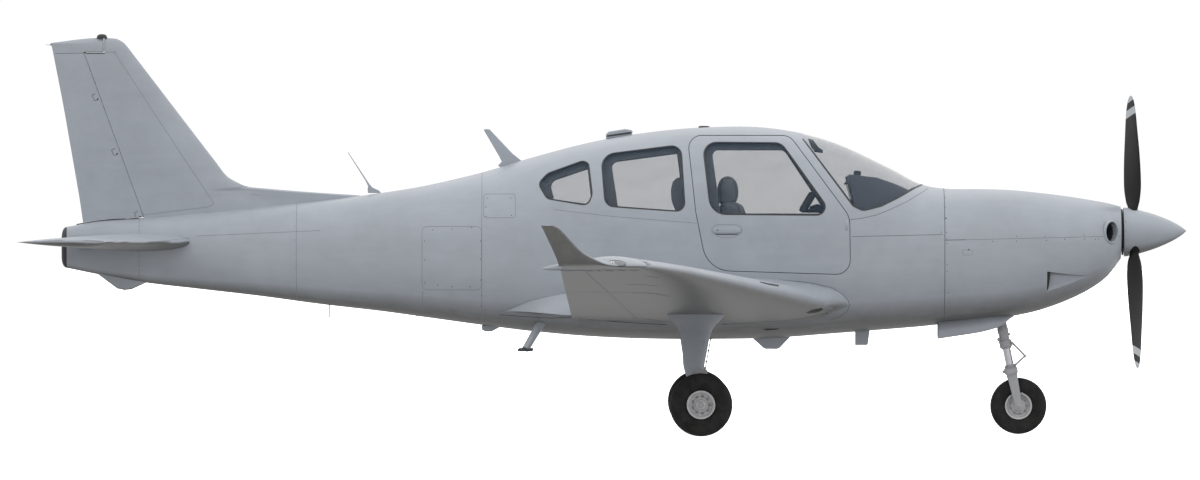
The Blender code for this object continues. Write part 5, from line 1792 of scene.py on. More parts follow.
# Lines, dots and marks of the skin, in pixels of the photograph; the other side mirrors them
marks = {
    # width in metres, points
    "seams": [
        (0.0036, [
            (927.8, 188.7), (907, 201.6), (890, 209.5), (876.7, 214.9), (862, 218.3), (850.2, 219.6),
        ]),
        (0.0046, [(944.8, 240.2), (1104.8, 236.4)]),
        (0.0034, [(850.2, 236.6), (896, 235.6), (943, 234.5)]),
        (0.0034, [
            (779.5, 279.9), (800, 281.5), (815, 283.6), (832.3, 287.7), (842, 294), (848, 300),
            (849.6, 305.5), (847.3, 311.3), (840, 316.5), (829.5, 320.4),
        ]),
        (0.0030, [(608, 292.2), (655, 293), (670, 296)]),
    ],
    "faint": [
        (0.0034, [
            (113.7, 51.5), (147, 102), (180, 152.5), (212.0, 200.5), (214.0, 204.4), (208, 206.9),
            (142.5, 215),
        ]),
        (0.0034, panelLine(rectangle(483.7, 193.9, 515.3, 217.8), 3.0)),
        (0.0034, panelLine(rectangle(422, 226.5, 481.6, 289.8), 5.0)),
        (0.0034, [(422.6, 291), (422.6, 317)]),
        # the line along the stabiliser's lower edge, where it meets the boom: painted shadow
        (0.0034, [(78.6, 250.4), (189.5, 238)]),
        (0.0034, [(553.6, 209.5), (612, 216.4), (696.6, 223.2)]),
        (0.0034, [(196, 236), (320, 230.5)]),
        (0.0030, [(497.3, 313), (530, 300.2), (569, 292.4)]),
        (0.0030, [(962.6, 249.9), (972.2, 249.9), (972.2, 255), (962.6, 255), (962.6, 249.9)]),
    ],
    "streaks": [
        (0.0040, [(102.5, 240.7), (113.5, 240.5)]),
        (0.0060, [(572.3, 317.6), (600, 320.5), (640, 323.3), (667, 324.6)]),
        (0.0060, [(722, 324.2), (760, 322.3), (797.6, 319.7), (828, 312.9)]),
        (0.0050, [(628, 284.5), (642, 284.3), (658, 286)]),
        (0.0040, [(645, 276), (659, 277.5)]),
        (0.0050, [(632, 318.2), (645, 319.0), (662, 320.8)]),
        (0.0050, [(632, 293.3), (641, 292.6), (655, 293.9), (668, 296.2)]),
        (0.0046, [(500, 314.6), (525, 316.6), (550, 318.2), (571, 317.2)]),
    ],
    "patches": [
        # an air inlet near the wing fairing's nose, its opening drawn near black: painted shade
        [(806, 312.6), (811.5, 309.8), (821.5, 307.9), (823.2, 309.4), (817.5, 312.4), (809, 313.6)],
        [(760.4, 281.6), (766, 282.8), (778.6, 284.8), (778.6, 286.6), (770, 285.2), (760.4, 282.6)],
        [(762.3, 329.3), (768, 328.3), (781.8, 328.1), (776, 329.8), (767, 330.3)],
    ],
    # radius in metres, points
    "fasteners": [
        (0.0034, [
            (945.8, 191.4), (945.4, 197.7), (945.6, 207.6), (946.4, 232.2), (946.8, 238.9),
            (947.0, 243.4), (947.2, 264.4), (947.4, 271.3), (948.3, 292.5), (948.7, 302.4),
            (949.2, 314.8), (941.2, 232.2),
        ]),
        (0.0055, [(945.9, 218.2), (968.7, 249.7)]),
        (0.0034, [
            (1016.6, 236.5), (1045.0, 236.6), (1084.1, 235.2), (992.9, 241.5), (1016.6, 241.3),
            (1046.2, 240.4), (1064.7, 239.5), (1084.5, 239.3), (1095.3, 239.1), (1098.8, 239.0),
        ]),
        (0.0036, [
            (432.8, 229.8), (452.3, 229.1), (471.8, 227.5), (424.6, 241), (424.6, 260), (424.6, 282.8),
            (480.6, 241), (480.6, 259), (480.6, 280), (437.6, 285), (452.3, 286.7), (470.2, 286.7),
            (481.5, 295.8), (481.5, 306.2), (487, 198.2), (511, 198.2), (486, 207), (486, 216.5),
            (511.5, 215.5),
        ]),
        (0.0024, [(142.2, y) for y in (226, 236, 246, 256, 266, 276)]),
        (0.0022, [(294.6, y) for y in (212, 226, 240, 254, 268, 282, 294)]),
        (0.0022, [(485.4, y) for y in (226, 240, 254, 268, 282, 296, 310)]),
        (0.0024, [
            (783, 281.6), (797, 283.3), (812, 285.4), (826, 288.6), (838, 294.6), (845, 302.5), (844, 311),
        ]),
    ],
}


def makeMarks():
    skins = skinTree(
        "cabinShell", "tailBoom", "upperCowl", "lowerCowl", "door", "wing", "flap", "aileron", "fin",
        "rudder", "stabiliser",
    )
    made = {name: bmesh.new() for name in ("seams", "faint", "streaks", "patches", "fasteners")}
    for side, label, low, high in sides:
        for name in ("seams", "faint", "streaks"):
            for width, line in marks[name]:
                lineOnSkin(made[name], skins, line, side, width)
        for outline in marks["patches"]:
            patchOnSkin(made["patches"], skins, outline, side)
        for radius, spots in marks["fasteners"]:
            for px, py in spots:
                found = onSkin(skins, px, py)
                if found:
                    studInto(made["fasteners"], mirrored(found[0], side), mirrored(found[1], side), radius)
    for x in (-3.345, -2.212, -0.878):
        hullHoop(made["faint"], x, 0.0036)
    hullHoop(made["seams"], fuselage["firewall"], 0.0050)
    finishes = {
        "seams": seamFinish, "faint": faintSeamAndShadowFinish, "streaks": markAndShadeFinish, "patches": markAndShadeFinish,
        "fasteners": fastenerFinish,
    }
    for name, bm in made.items():
        settle(fromBmesh("skin" + name.title(), bm, finishes[name], 30), "airframe", "dark_trim")


# Corners of the holes in the lining behind each side window, in pixels of the photograph
liningHoles = {
    "rearWindow": (
        [(549.4, 181.8), (587.6, 168.9), (591.6, 204.4), (553.8, 199.2)], [0.055, 0.004, 0.032, 0.006],
    ),
    "middleWindow": (
        [(611.3, 162.2), (677.6, 153.3), (685.2, 211.4), (617.9, 206.1)], [0.045, 0.004, 0.045, 0.006],
    ),
    "doorWindow": (
        [(711.9, 149.7), (785.5, 149.7), (824.4, 207.5), (824.0, 213.5), (720.4, 213.4)],
        [0.045, 0.060, 0.030, 0.012, 0.006],
    ),
}


def makeWindowTrim():
    f = fuselage
    frameLines = bmesh.new()
    for side, label, low, high in sides:
        doorLines = bmesh.new()
        for kind in ("rearWindow", "middleWindow", "doorWindow"):
            bm = doorLines if kind == "doorWindow" else frameLines
            hullLine(bm, outlines[kind], side, 0.010, closed=True, lift=0.0009)
        sealed = fromBmesh("doorSealant" + label.title(), doorLines, sealantAndGapShade, 40)
        settle(sealed, "door_" + label, "dark_trim")
        for kind, (corners, radii) in liningHoles.items():
            body = "door_" + label if kind == "doorWindow" else "airframe"
            hole = rounded(allSeen(corners, 0.56), radii)
            xs = [x for x, z in outlines[kind]]
            name = kind + "Lining" + label.title()
            lining = hullShell(name, min(xs) - 0.04, max(xs) + 0.04, 0.007, liningFinish, -0.0355)
            carve(lining, "INTERSECT", prism("cut", grown(outlines[kind], 0.020), low, high))
            carve(lining, "DIFFERENCE", prism("cut", hole, low, high))
            settle(lining, body, "dark_trim")
        # painted reveal around the door, and behind the gap a dark strip: painted shade, so that the gap
        # reads as a dark line
        reveal = hullShell("doorReveal" + label.title(), 0.5, 1.85, 0.012, paint, -0.0003)
        carve(reveal, "INTERSECT", prism("cut", grown(outlines["doorOpening"], 0.008), low, high))
        carve(reveal, "DIFFERENCE", prism("cut", grown(outlines["door"], 0.0045), low, high))
        skinNormals(reveal, hullNormal)
        settle(grimeAndShadeBelow(reveal), "airframe")
        gapShade = hullShell("doorSeal" + label.title(), 0.5, 1.85, 0.006, seamFinish, -0.038)
        carve(gapShade, "INTERSECT", prism("cut", grown(outlines["doorOpening"], 0.012), low, high))
        carve(gapShade, "DIFFERENCE", prism("cut", grown(outlines["door"], -0.014), low, high))
        settle(gapShade, "airframe", "dark_trim")
        # a strip behind the cowl's split line
        name, inward = "cowlStrip" + label.title(), -(f["cowlWall"] + 0.0005)
        strip = hullShell(name, f["firewall"] + 0.004, 3.60, 0.003, darkTrim, inward)
        (ax, az), (bx, bz) = cowl["splitAft"], cowl["splitFront"]
        band = [(ax, az - 0.015), (bx, bz - 0.015), (bx, bz + 0.015), (ax, az + 0.015)]
        carve(strip, "INTERSECT", prism("cut", band, low, high))
        settle(strip, "airframe", "dark_trim")
        edge = outlines["windshield"]
        line = [(x, z) for x, z in edge if z < 2.13 and x < 2.285] + [(2.290, 1.797)]
        points = [hullPoint(x, z, side) for x, z in line]
        points = [p for p, q in zip(points, points[1:]) if (p - q).length > 0.001] + [points[-1]]
        hullLine(frameLines, [(p.x, p.z) for p in points], side, 0.013, lift=0.0009)
    settle(fromBmesh("windowSealant", frameLines, sealantAndGapShade, 40), "airframe", "dark_trim")


makeWindowTrim()
makeMarks()
print("skin details made")


def tubeInto(bm, points, radius, count=12):
    points = [Vector(p) for p in points]
    rings = []
    spoke = None
    for i, point in enumerate(points):
        ahead = (points[min(i + 1, len(points) - 1)] - points[max(i - 1, 0)]).normalized()
        spoke = spoke or ahead.orthogonal()
        spoke = (spoke - ahead * spoke.dot(ahead)).normalized()
        other = ahead.cross(spoke)
        rings.append([
            point + (spoke * math.cos(a) + other * math.sin(a)) * radius
            for a in circle(count)
        ])
    loftInto(bm, rings)


def smoothPath(points, share=0.2):
    # a smooth path through a few points
    table = [(i, *point) for i, point in enumerate(points)]
    return [Vector([catmull(table, t, c) for c in (1, 2, 3)]) for t in spaced(0, len(points) - 1, share)]


def tubes(name, paths, radius, finish, count=12):
    bm = bmesh.new()
    for path in paths:
        tubeInto(bm, path, radius, count)
    return fromBmesh(name, bm, finish, 50)


# how much of its outline a blade keeps, by the share of its half thickness
bladeShares = {0.0: 1.0, 0.4: 0.985, 0.8: 0.90, 1.0: 0.72}


def bladeShape(name, outline, half, finish, roundness=0.6):
    # a blade that is thick in the middle of its chord and thin at its edges
    rings = []
    for y in (-1.0, -0.8, -0.4, 0.0, 0.4, 0.8, 1.0):
        inset = half * (1 - bladeShares[abs(y)]) * 2.0 * roundness
        rings.append([Vector((x, y * half, z)) for x, z in grown(outline, -inset)])
    return loft(name, rings, finish, 40)


# Small outside parts, x and z in side view
small = {
    "roofBlade": [
        (-0.869, 2.192), (-0.848, 2.197), (-0.824, 2.194), (-0.661, 2.021), (-0.602, 1.974),
        (-0.560, 1.940), (-0.700, 1.900), (-0.766, 1.932), (-0.738, 1.962), (-0.755, 1.997),
    ],
    "whip": [
        (-1.846, 2.026), (-1.842, 2.029), (-1.735, 1.868), (-1.690, 1.800), (-1.668, 1.775),
        (-1.620, 1.753), (-1.606, 1.735), (-1.700, 1.735), (-1.704, 1.760), (-1.700, 1.785),
        (-1.722, 1.830),
    ],
    "roofAntenna": [
        (0.012, 2.160), (0.030, 2.178), (0.150, 2.198), (0.196, 2.190), (0.205, 2.180), (0.200, 2.150),
        (0.012, 2.120),
    ],
    "roofSlots": [
        (0.014, 2.142), (0.020, 2.151), (0.185, 2.1755), (0.198, 2.172), (0.190, 2.163), (0.030, 2.141),
    ],
    "bellyBlade": [
        (1.061, 0.72), (1.061, 0.696), (1.150, 0.616), (1.166, 0.612), (1.244, 0.612), (1.262, 0.618),
        (1.337, 0.696), (1.337, 0.72),
    ],
    "forwardBlade": [
        (1.806, 0.78), (1.806, 0.650), (1.812, 0.640), (1.890, 0.640), (1.900, 0.650), (1.916, 0.78),
    ],
    "tieDown": [
        (-3.650, 1.17), (-3.640, 1.145), (-3.505, 1.046), (-3.450, 1.037), (-3.405, 1.040), (-3.290, 1.092),
        (-3.270, 1.16),
    ],
}


def makeAntennas():
    roofBlade = bladeShape("roofBlade", small["roofBlade"], 0.0105, paint)
    settle(roofBlade, "airframe", "body_paint", "roof_blade_antenna")
    bellyBlade = bladeShape("bellyBlade", small["bellyBlade"], 0.0115, paint)
    settle(bellyBlade, "airframe", "body_paint", "belly_blade_antenna")
    shell = bladeShape("roofAntenna", small["roofAntenna"], 0.036, paint, roundness=0.35)
    slots = bevelled(prism("slots", small["roofSlots"], -0.0405, 0.0405, darkTrim), 0.002, 2)
    settle(merged("roofAntennaWhole", shell, slots), "airframe", "dark_trim", "roof_antenna")
    shell = bladeShape("fairing", small["tieDown"], 0.029, paint)
    turns = [k * math.pi / 6 for k in range(13)]
    path = [(-3.453 + 0.012 * math.cos(a), 0, 1.044 + 0.012 * math.sin(a)) for a in turns]
    tieDown = merged("tieDown", shell, tubes("ring", [path], 0.0026, polished, 8))
    settle(grimeAndShadeBelow(tieDown), "airframe", "body_paint", "tail_tie_down")
    shell = bladeShape("blade", small["forwardBlade"], 0.0095, paint)
    rail = tubes("rail", [[(1.712, 0, 0.6405), (1.815, 0, 0.6405)]], 0.0028, gearPaint, 8)
    forward = merged("forwardBlade", shell, rail)
    settle(forward, "airframe", "body_paint", "forward_belly_antenna")
    whip = bladeShape("whipAntenna", small["whip"], 0.0060, paint, roundness=0.4)
    settle(whip, "airframe", "dark_trim", "whip_antenna")
    crown = hullAt(0.72)[0]
    puck = turned("roofPuck", (0.719, 0, crown - 0.006), (0.719, 0, crown + 1), [
        (0, 0.041), (0.009, 0.041), (0.014, 0.037), (0.0165, 0.028), (0.017, 0.004),
    ], darkTrim, 40)
    settle(puck, "airframe", "dark_trim")
    x, low = seen(329.2, 317.3, 0)
    keel = hullAt(x)[1]
    foot = (x, 0, low)
    probe = rod("bellyProbe", (x, 0, keel + 0.004), foot, 0.0045, gearPaint, 12)
    settle(probe, "airframe", "bare_metal")
    (ax, az), (bx, bz) = allSeen([(415.3, 318), (482.7, 326.5)], 0)
    sag = [(ax + 0.001, 0, hullAt(ax)[1] + 0.002), (ax + 0.10, 0, az - 0.016), (bx, 0, bz)]
    wire = tubes("bellyWire", [smoothPath(sag)], 0.0017, darkTrim, 8)
    settle(wire, "airframe", "dark_trim")
    pod = allSeen([
        (481.8, 325.2), (481.8, 329.6), (485.0, 331.4), (492.0, 331.4), (500.3, 327.0), (500.3, 323.5),
    ], 0)
    settle(grimeAndShadeBelow(bladeShape("bellyPod", pod, 0.020, paint)), "airframe")


def makeBoardingStep(side, label):
    y = side * 0.42
    top, foot = Vector((-0.455, side * 0.30, 0.80)), Vector((-0.565, y, 0.612))
    profile = [(0, 0.032), (0.03, 0.0305), ((foot - top).length, 0.0265)]
    leg = turned("boardingStep" + label.title(), top, foot, profile, paint, 32)
    pad = box("pad", (-0.620, y - 0.055, 0.598), (-0.512, y + 0.055, 0.6165), darkTrim)
    bevelled(pad, 0.005, 3)
    ribs = bmesh.new()
    for k in range(7):
        x = -0.609 + 0.0143 * k
        boxInto(ribs, (x, y - 0.046, 0.616), (x + 0.005, y + 0.046, 0.6185))
    step = merged("boardingStepWhole" + label.title(), leg, pad, fromBmesh("ribs", ribs, darkTrim))
    settle(step, "airframe", "body_paint", "boarding_step_" + label)


def makeTipLamp(side, label):
    # lamp in the wing tip's nose, and the pointed cone at its tail
    spot, normal = onSkin(skinTree("wingTip"), 616.6, 263.4)
    spot, normal = mirrored(spot, side), mirrored(normal, side)
    normal = (normal + Vector((0, side * 1.6, 0))).normalized()
    along = (Vector((1, 0, 0)) - normal * normal.x).normalized()
    up = normal.cross(along)
    lamp = []
    for name, reach, height, rise, shift, finish in (
        ("frame", 0.068, 0.0235, 0.0035, 0.0, darkTrim),
        ("lens", 0.062, 0.0205, 0.009, 0.004, lensGlass),
        ("reflector", 0.019, 0.0165, 0.0125, -0.030, polished),
        ("bulb", 0.006, 0.006, 0.0165, -0.030, darkTrim),
    ):
        dome = []
        for turn in (0.0, 0.35, 0.7, 1.0, 1.25, 1.45):
            spread, lift = math.cos(turn), normal * (math.sin(turn) * rise)
            ring = []
            for a in circle(40):
                middle = spot + along * (shift + reach * spread * math.cos(a))
                ring.append(middle + up * height * spread * math.sin(a) + lift)
            dome.append(ring)
        foot = [point - normal * 0.006 for point in dome[0]]
        lamp.append(loft(name, [foot] + dome, finish, 50))
    settle(merged("tipLamp" + label.title(), *lamp), "airframe", "window_glass")
    base, tip = Vector((-0.290, side * 5.0, 1.2115)), Vector((-0.434, side * 5.0, 1.199))
    profile = [(0, 0.0235), (0.03, 0.0225), (0.08, 0.0165), (0.12, 0.0085), (0.143, 0.0015)]
    settle(grimeAndShadeBelow(turned("tipCone" + label.title(), base, tip, profile, paint, 32)), "airframe")


# The door's handle, in pixels of the photograph
handle = {
    "grip": [
        (712.4, 228.0), (715, 226.6), (736.5, 226.6), (741.2, 229.2), (740.8, 231.8), (736, 233.0),
        (714, 233.0), (712.2, 230.6),
    ],
    "recess": [
        (713.4, 226.2), (718, 224.6), (736, 224.6), (741.2, 227.0), (742.0, 231.4), (738.4, 235.2),
        (731, 237.6), (722, 237.6), (715.4, 234.8), (711.6, 230.4),
    ],
    "lock": (717.4, 230.3),
    "shadow": [(716.0, 234.2), (724.0, 234.6), (738.0, 234.2)],
    "hingeCover": rectangle(845.2, 219.9, 848.2, 229.9),
    # how far the skin lies from the middle plane there
    "reach": 0.62,
}


def makeDoorHandle(side, label, low, high):
    body, reach = "door_" + label, handle["reach"]
    bar = hullShell("doorHandle" + label.title(), 0.70, 1.05, 0.017, paint, 0.0065)
    carve(bar, "INTERSECT", prism("cut", rounded(allSeen(handle["grip"], reach), 0.008, 4), low, high))
    settle(bevelled(bar, 0.0025, 2), body)
    recess = bmesh.new()
    hullLine(recess, rounded(allSeen(handle["recess"], reach), 0.016, 4), side, 0.0032, closed=True)
    settle(fromBmesh("handleRecess" + label.title(), recess, faintSeamAndShadowFinish), body, "dark_trim")
    lock = bmesh.new()
    spot = hullPoint(*seen(*handle["lock"], reach), side)
    studInto(lock, spot + hullNormal(spot) * 0.0065, hullNormal(spot), 0.0050)
    # a dark line under the grip: painted shadow
    hullLine(lock, allSeen(handle["shadow"], reach), side, 0.0060, lift=0.0016)
    settle(fromBmesh("doorLock" + label.title(), lock, darkTrim), body, "dark_trim")
    cover = hullShell("hingeCover" + label.title(), 1.65, 1.80, 0.006, paint, 0.0028)
    carve(cover, "INTERSECT", prism("cut", allSeen(handle["hingeCover"]), low, high))
    settle(bevelled(cover, 0.001, 1), body)


def makeRudderDetails():
    # hinge pockets of the rudder with their pins, the cap's seam, and the wick
    pockets, pins, caps, lips = bmesh.new(), bmesh.new(), bmesh.new(), bmesh.new()
    moving, fixed = skinTree("rudder"), skinTree("fin")
    for side, label, low, high in sides:
        for px, py in ((98.9, 99.9), (118.4, 154.6), (141.2, 217.6)):
            line = [(px - 3.5, py - 6.2), (px - 7.0, py - 4.6), (px - 4.6, py + 0.6), (px - 1.4, py + 0.2)]
            lineOnSkin(pockets, moving, line, side, 0.0046)
            found = onSkin(moving, px - 1.2, py - 0.8)
            studInto(pins, mirrored(found[0], side), mirrored(found[1], side), 0.0064)
        lineOnSkin(pockets, moving, [(55, 53.6), (84, 53.0)], side, 0.0034)
        lineOnSkin(caps, fixed, [(105.5, 52.3), (117, 52)], side, 0.0034)
        # edges of the horn's front, darker than the skin
        lineOnSkin(pockets, moving, [(103.2, 40.5), (103.2, 51.0)], side, 0.0046)
        lineOnSkin(lips, fixed, [(104.75, 39.5), (104.75, 51.4)], side, 0.0032)
        lineOnSkin(pins, moving, [(83.5, 52.15), (103.0, 52.15)], side, 0.0044)
        lineOnSkin(lips, fixed, [(86.0, 53.65), (105.0, 53.65)], side, 0.0044)
    settle(fromBmesh("rudderPockets", pockets, seamFinish, 30), "rudder", "dark_trim")
    settle(fromBmesh("rudderPins", pins, markAndShadeFinish, 30), "rudder", "dark_trim")
    settle(fromBmesh("finCapSeam", caps, faintSeamAndShadowFinish, 30), "airframe", "dark_trim")
    settle(fromBmesh("finLip", lips, markAndShadeFinish, 30), "airframe", "dark_trim")
    x, z = seen(51.5, 45, 0)
    profile = [(0, 0.0035), (0.006, 0.0035), (0.010, 0.0018), (0.042, 0.0014)]
    wick = turned("rudderWick", (x, 0, z), (x - 1, 0, z + 0.02), profile, darkTrim, 10)
    settle(wick, "rudder", "dark_trim")


makeAntennas()
for side, label, low, high in sides:
    makeBoardingStep(side, label)
    makeTipLamp(side, label)
    makeDoorHandle(side, label, low, high)
makeRudderDetails()
print("small parts made")


# Seats: points are along X and up from the hip point, in metres
seats = {
    "hip": Vector((1.085, 0.290, 0.965)),
    "cushion": [
        (0.425, 0.085), (0.452, 0.150), (0.435, 0.215), (0.385, 0.232), (0.050, 0.196), (-0.030, 0.170),
        (-0.050, 0.085), (0.000, 0.060), (0.300, 0.055),
    ],
    "back": [
        (0.000, 0.215), (-0.025, 0.330), (-0.070, 0.540), (-0.086, 0.630), (-0.116, 0.700), (-0.180, 0.728),
        (-0.250, 0.708), (-0.264, 0.610), (-0.178, 0.270), (-0.130, 0.175), (-0.055, 0.150),
    ],
    "headrest": [
        (-0.132, 0.700), (-0.122, 0.790), (-0.140, 0.862), (-0.185, 0.892), (-0.240, 0.882),
        (-0.266, 0.810), (-0.262, 0.695), (-0.200, 0.672),
    ],
    "halfWidth": {"cushion": 0.212, "back": 0.205, "headrest": 0.120},
    "shell": [
        (-0.030, 0.150), (-0.075, 0.120), (-0.150, 0.150), (-0.205, 0.300), (-0.287, 0.600),
        (-0.287, 0.650), (-0.262, 0.660), (-0.245, 0.600), (-0.165, 0.270), (-0.110, 0.165),
    ],
    "pan": [
        (0.420, 0.060), (0.440, 0.085), (0.425, 0.100), (-0.040, 0.090), (-0.110, 0.130),
        (-0.130, 0.110), (-0.050, 0.045), (0.300, 0.035),
    ],
    "benchHip": Vector((0.100, 0.0, 0.965)),
    "benchHeadrest": [
        (-0.105, 0.595), (-0.112, 0.655), (-0.140, 0.670), (-0.195, 0.662), (-0.205, 0.600),
        (-0.160, 0.580),
    ],
    "benchShell": [
        (-0.050, 0.060), (0.360, 0.040), (0.385, 0.075), (-0.030, 0.085), (-0.100, 0.115), (-0.145, 0.240),
        (-0.225, 0.540), (-0.245, 0.580), (-0.262, 0.560), (-0.255, 0.520), (-0.170, 0.220),
        (-0.115, 0.085),
    ],
    "benchScale": 0.90,
    "benchHalf": 0.485,
    "voxel": 0.011,
    "benchVoxel": 0.016,
    "swell": 0.016,
    "pressure": 4.0,
    "frames": 20,
}


def sewn(name, outline, half, centre, puff, voxel):
    # a padded form: a rounded block that is remeshed, swollen as cloth and held to a small movement
    rings = []
    for share, inset in (
        (-1.0, 0.034), (-0.975, 0.016), (-0.90, 0.004), (-0.5, 0.0), (0.0, 0.0), (0.5, 0.0), (0.90, 0.004),
        (0.975, 0.016), (1.0, 0.034),
    ):
        crown = 0.006 * (1 - share * share)
        rings.append([
            Vector((centre.x + x, centre.y + share * half, centre.z + z))
            for x, z in grown(outline, crown - inset - 0.006)
        ])
    pad = loft(name, rings, seatCloth, 180)
    remesh = pad.modifiers.new("remesh", "REMESH")
    remesh.mode = "VOXEL"
    remesh.voxel_size = voxel
    remesh.use_smooth_shade = True
    bake(pad)
    swell(pad, puff)
    ease = pad.modifiers.new("ease", "SMOOTH")
    ease.factor = 0.5
    ease.iterations = 3
    divide = pad.modifiers.new("divide", "SUBSURF")
    divide.levels = divide.render_levels = 1
    bake(pad)
    if not pad.data.materials:
        pad.data.materials.append(seatCloth)
    pad.data.shade_smooth()
    return pad


def swell(pad, most):
    start = [v.co.copy() for v in pad.data.vertices]
    cloth = pad.modifiers.new("cloth", "CLOTH")
    cloth.settings.use_pressure = True
    cloth.settings.uniform_pressure_force = seats["pressure"]
    cloth.settings.effector_weights.gravity = 0
    for moment in range(1, seats["frames"] + 1):
        bpy.context.scene.frame_set(moment)
    bake(pad)
    bpy.context.scene.frame_set(1)
    for vertex, first in zip(pad.data.vertices, start):
        move = vertex.co - first
        if move.length > most:
            vertex.co = first + move.normalized() * most


def seamInto(bm, tree, points, facing, radius):
    # a sewn welt that follows the pad's surface, found by looking back along a direction
    found = []
    for point in points:
        place, normal, index, distance = tree.ray_cast(point + facing * 0.4, -facing, 0.8)
        if place is not None:
            found.append(place - facing * radius * 0.3)
    if len(found) > 2:
        tubeInto(bm, found, radius, 8)


def weltAround(bm, tree, outline, centre, y, radius):
    # a welt around the pad's side edge
    middle = sum((Vector(p) for p in outline), Vector((0, 0))) / len(outline)
    ring = []
    for x, z in outline + outline[:1]:
        out = Vector((x - middle.x, 0, z - middle.y)).normalized()
        start = Vector((centre.x + middle.x, y, centre.z + middle.y)) + out * 0.6
        place, normal, index, distance = tree.ray_cast(start, -out, 0.7)
        if place is not None:
            ring.append(place + normal * radius * 0.2)
    tubeInto(bm, ring, radius, 8)


def mirrorCopy(piece, name):
    # the same piece on the other side of the middle plane
    made = newPiece(name, piece.data.copy())
    for vertex in made.data.vertices:
        vertex.co.y = -vertex.co.y
    made.data.flip_normals()
    made.data.shade_smooth()
    return made


def dense(outline, step=0.03):
    # the outline with rounded corners and more points
    made = []
    for (x1, z1), (x2, z2) in zip(outline, outline[1:] + outline[:1]):
        count = max(1, round(math.hypot(x2 - x1, z2 - z1) / step))
        made += [(x1 + (x2 - x1) * k / count, z1 + (z2 - z1) * k / count) for k in range(count)]
    return made


def makeFrontSeats():
    s = seats
    for kind in ("cushion", "back", "headrest"):
        half = s["halfWidth"][kind]
        outline = dense(rounded(s[kind], 0.014, 3), 0.022)
        puff = s["swell"] * (0.5 if kind == "headrest" else 1)
        pad = sewn("seat" + kind.title() + "Left", outline, half, s["hip"], puff, s["voxel"])
        tree = surfaceOf(pad)
        welts = bmesh.new()
        for hand in (-1, 1):
            weltAround(welts, tree, outline, s["hip"], s["hip"].y + hand * half * 0.90, 0.0032)
        if kind == "cushion":
            for x in (0.08, 0.20, 0.32):
                line = [s["hip"] + Vector((x, y, 0.2)) for y in spaced(-half * 0.62, half * 0.62, 0.02)]
                seamInto(welts, tree, line, Vector((0, 0, 1)), 0.0026)
            for hand in (-1, 1):
                line = [s["hip"] + Vector((x, hand * half * 0.62, 0.2)) for x in spaced(-0.01, 0.41, 0.02)]
                seamInto(welts, tree, line, Vector((0, 0, 1)), 0.0026)
        if kind == "back":
            ahead = Vector((0.96, 0, 0.28))
            ys = spaced(-half * 0.62, half * 0.62, 0.02)
            for share in (0.32, 0.44, 0.56):
                line = [s["hip"] + Vector((0.0 - share * 0.28, y, share)) for y in ys]
                seamInto(welts, tree, line, ahead, 0.0026)
            shares = spaced(0.23, 0.635, 0.02)
            for hand in (-1, 1):
                y = hand * half * 0.62
                line = [s["hip"] + Vector((0.05 - share * 0.28, y, share)) for share in shares]
                seamInto(welts, tree, line, ahead, 0.0026)
        trim = fromBmesh("seat" + kind.title() + "WeltLeft", welts, seatEdge, 60)
        for piece, name in ((pad, "seat" + kind.title()), (trim, "seat" + kind.title() + "Welt")):
            other = mirrorCopy(piece, name + "Right")
            for one, label in ((piece, "left"), (other, "right")):
                settle(one, "airframe", "seat_cloth", "seat_front_" + label)
    hipX = s["hip"].x
    for side, label, low, high in sides:
        y = side * s["hip"].y
        outline = [(hipX + a, s["hip"].z + b) for a, b in s["shell"]]
        back = prism("seatShell" + label.title(), outline, y - 0.185, y + 0.185, darkTrim)
        bevelled(back, 0.008, 3)
        outline = [(hipX + a, s["hip"].z + b) for a, b in s["pan"]]
        pan = bevelled(prism("pan", outline, y - 0.190, y + 0.190, darkTrim), 0.006, 3)
        frame = bmesh.new()
        for hand in (-1, 1):
            rail = y + hand * 0.150
            boxInto(frame, (hipX - 0.200, rail - 0.012, 0.9055), (hipX + 0.400, rail + 0.012, 0.925))
            for x in (-0.05, 0.29):
                tubeInto(frame, [(hipX + x, rail, 0.915), (hipX + x + 0.02, rail, 1.025)], 0.012, 16)
            post = y + hand * 0.045
            tubeInto(frame, [(hipX - 0.190, post, 1.600), (hipX - 0.196, post, 1.720)], 0.006, 12)
        near, far = y - 0.150, y + 0.150
        lever = [
            (hipX + 0.30, near, 0.960), (hipX + 0.44, near, 0.975), (hipX + 0.44, far, 0.975),
            (hipX + 0.30, far, 0.960),
        ]
        tubeInto(frame, lever, 0.007, 10)
        hinge = [(0, 0.026), (0.012, 0.032), (0.398, 0.032), (0.41, 0.026)]
        turnedInto(frame, (hipX - 0.05, y - 0.205, 1.075), (hipX - 0.05, y + 0.205, 1.075), hinge, 24)
        whole = merged("seatFrame" + label.title(), back, pan, fromBmesh("frame", frame, gearPaint, 40))
        settle(whole, "airframe", "seat_cloth", "seat_front_" + label)
    print("front seats made")


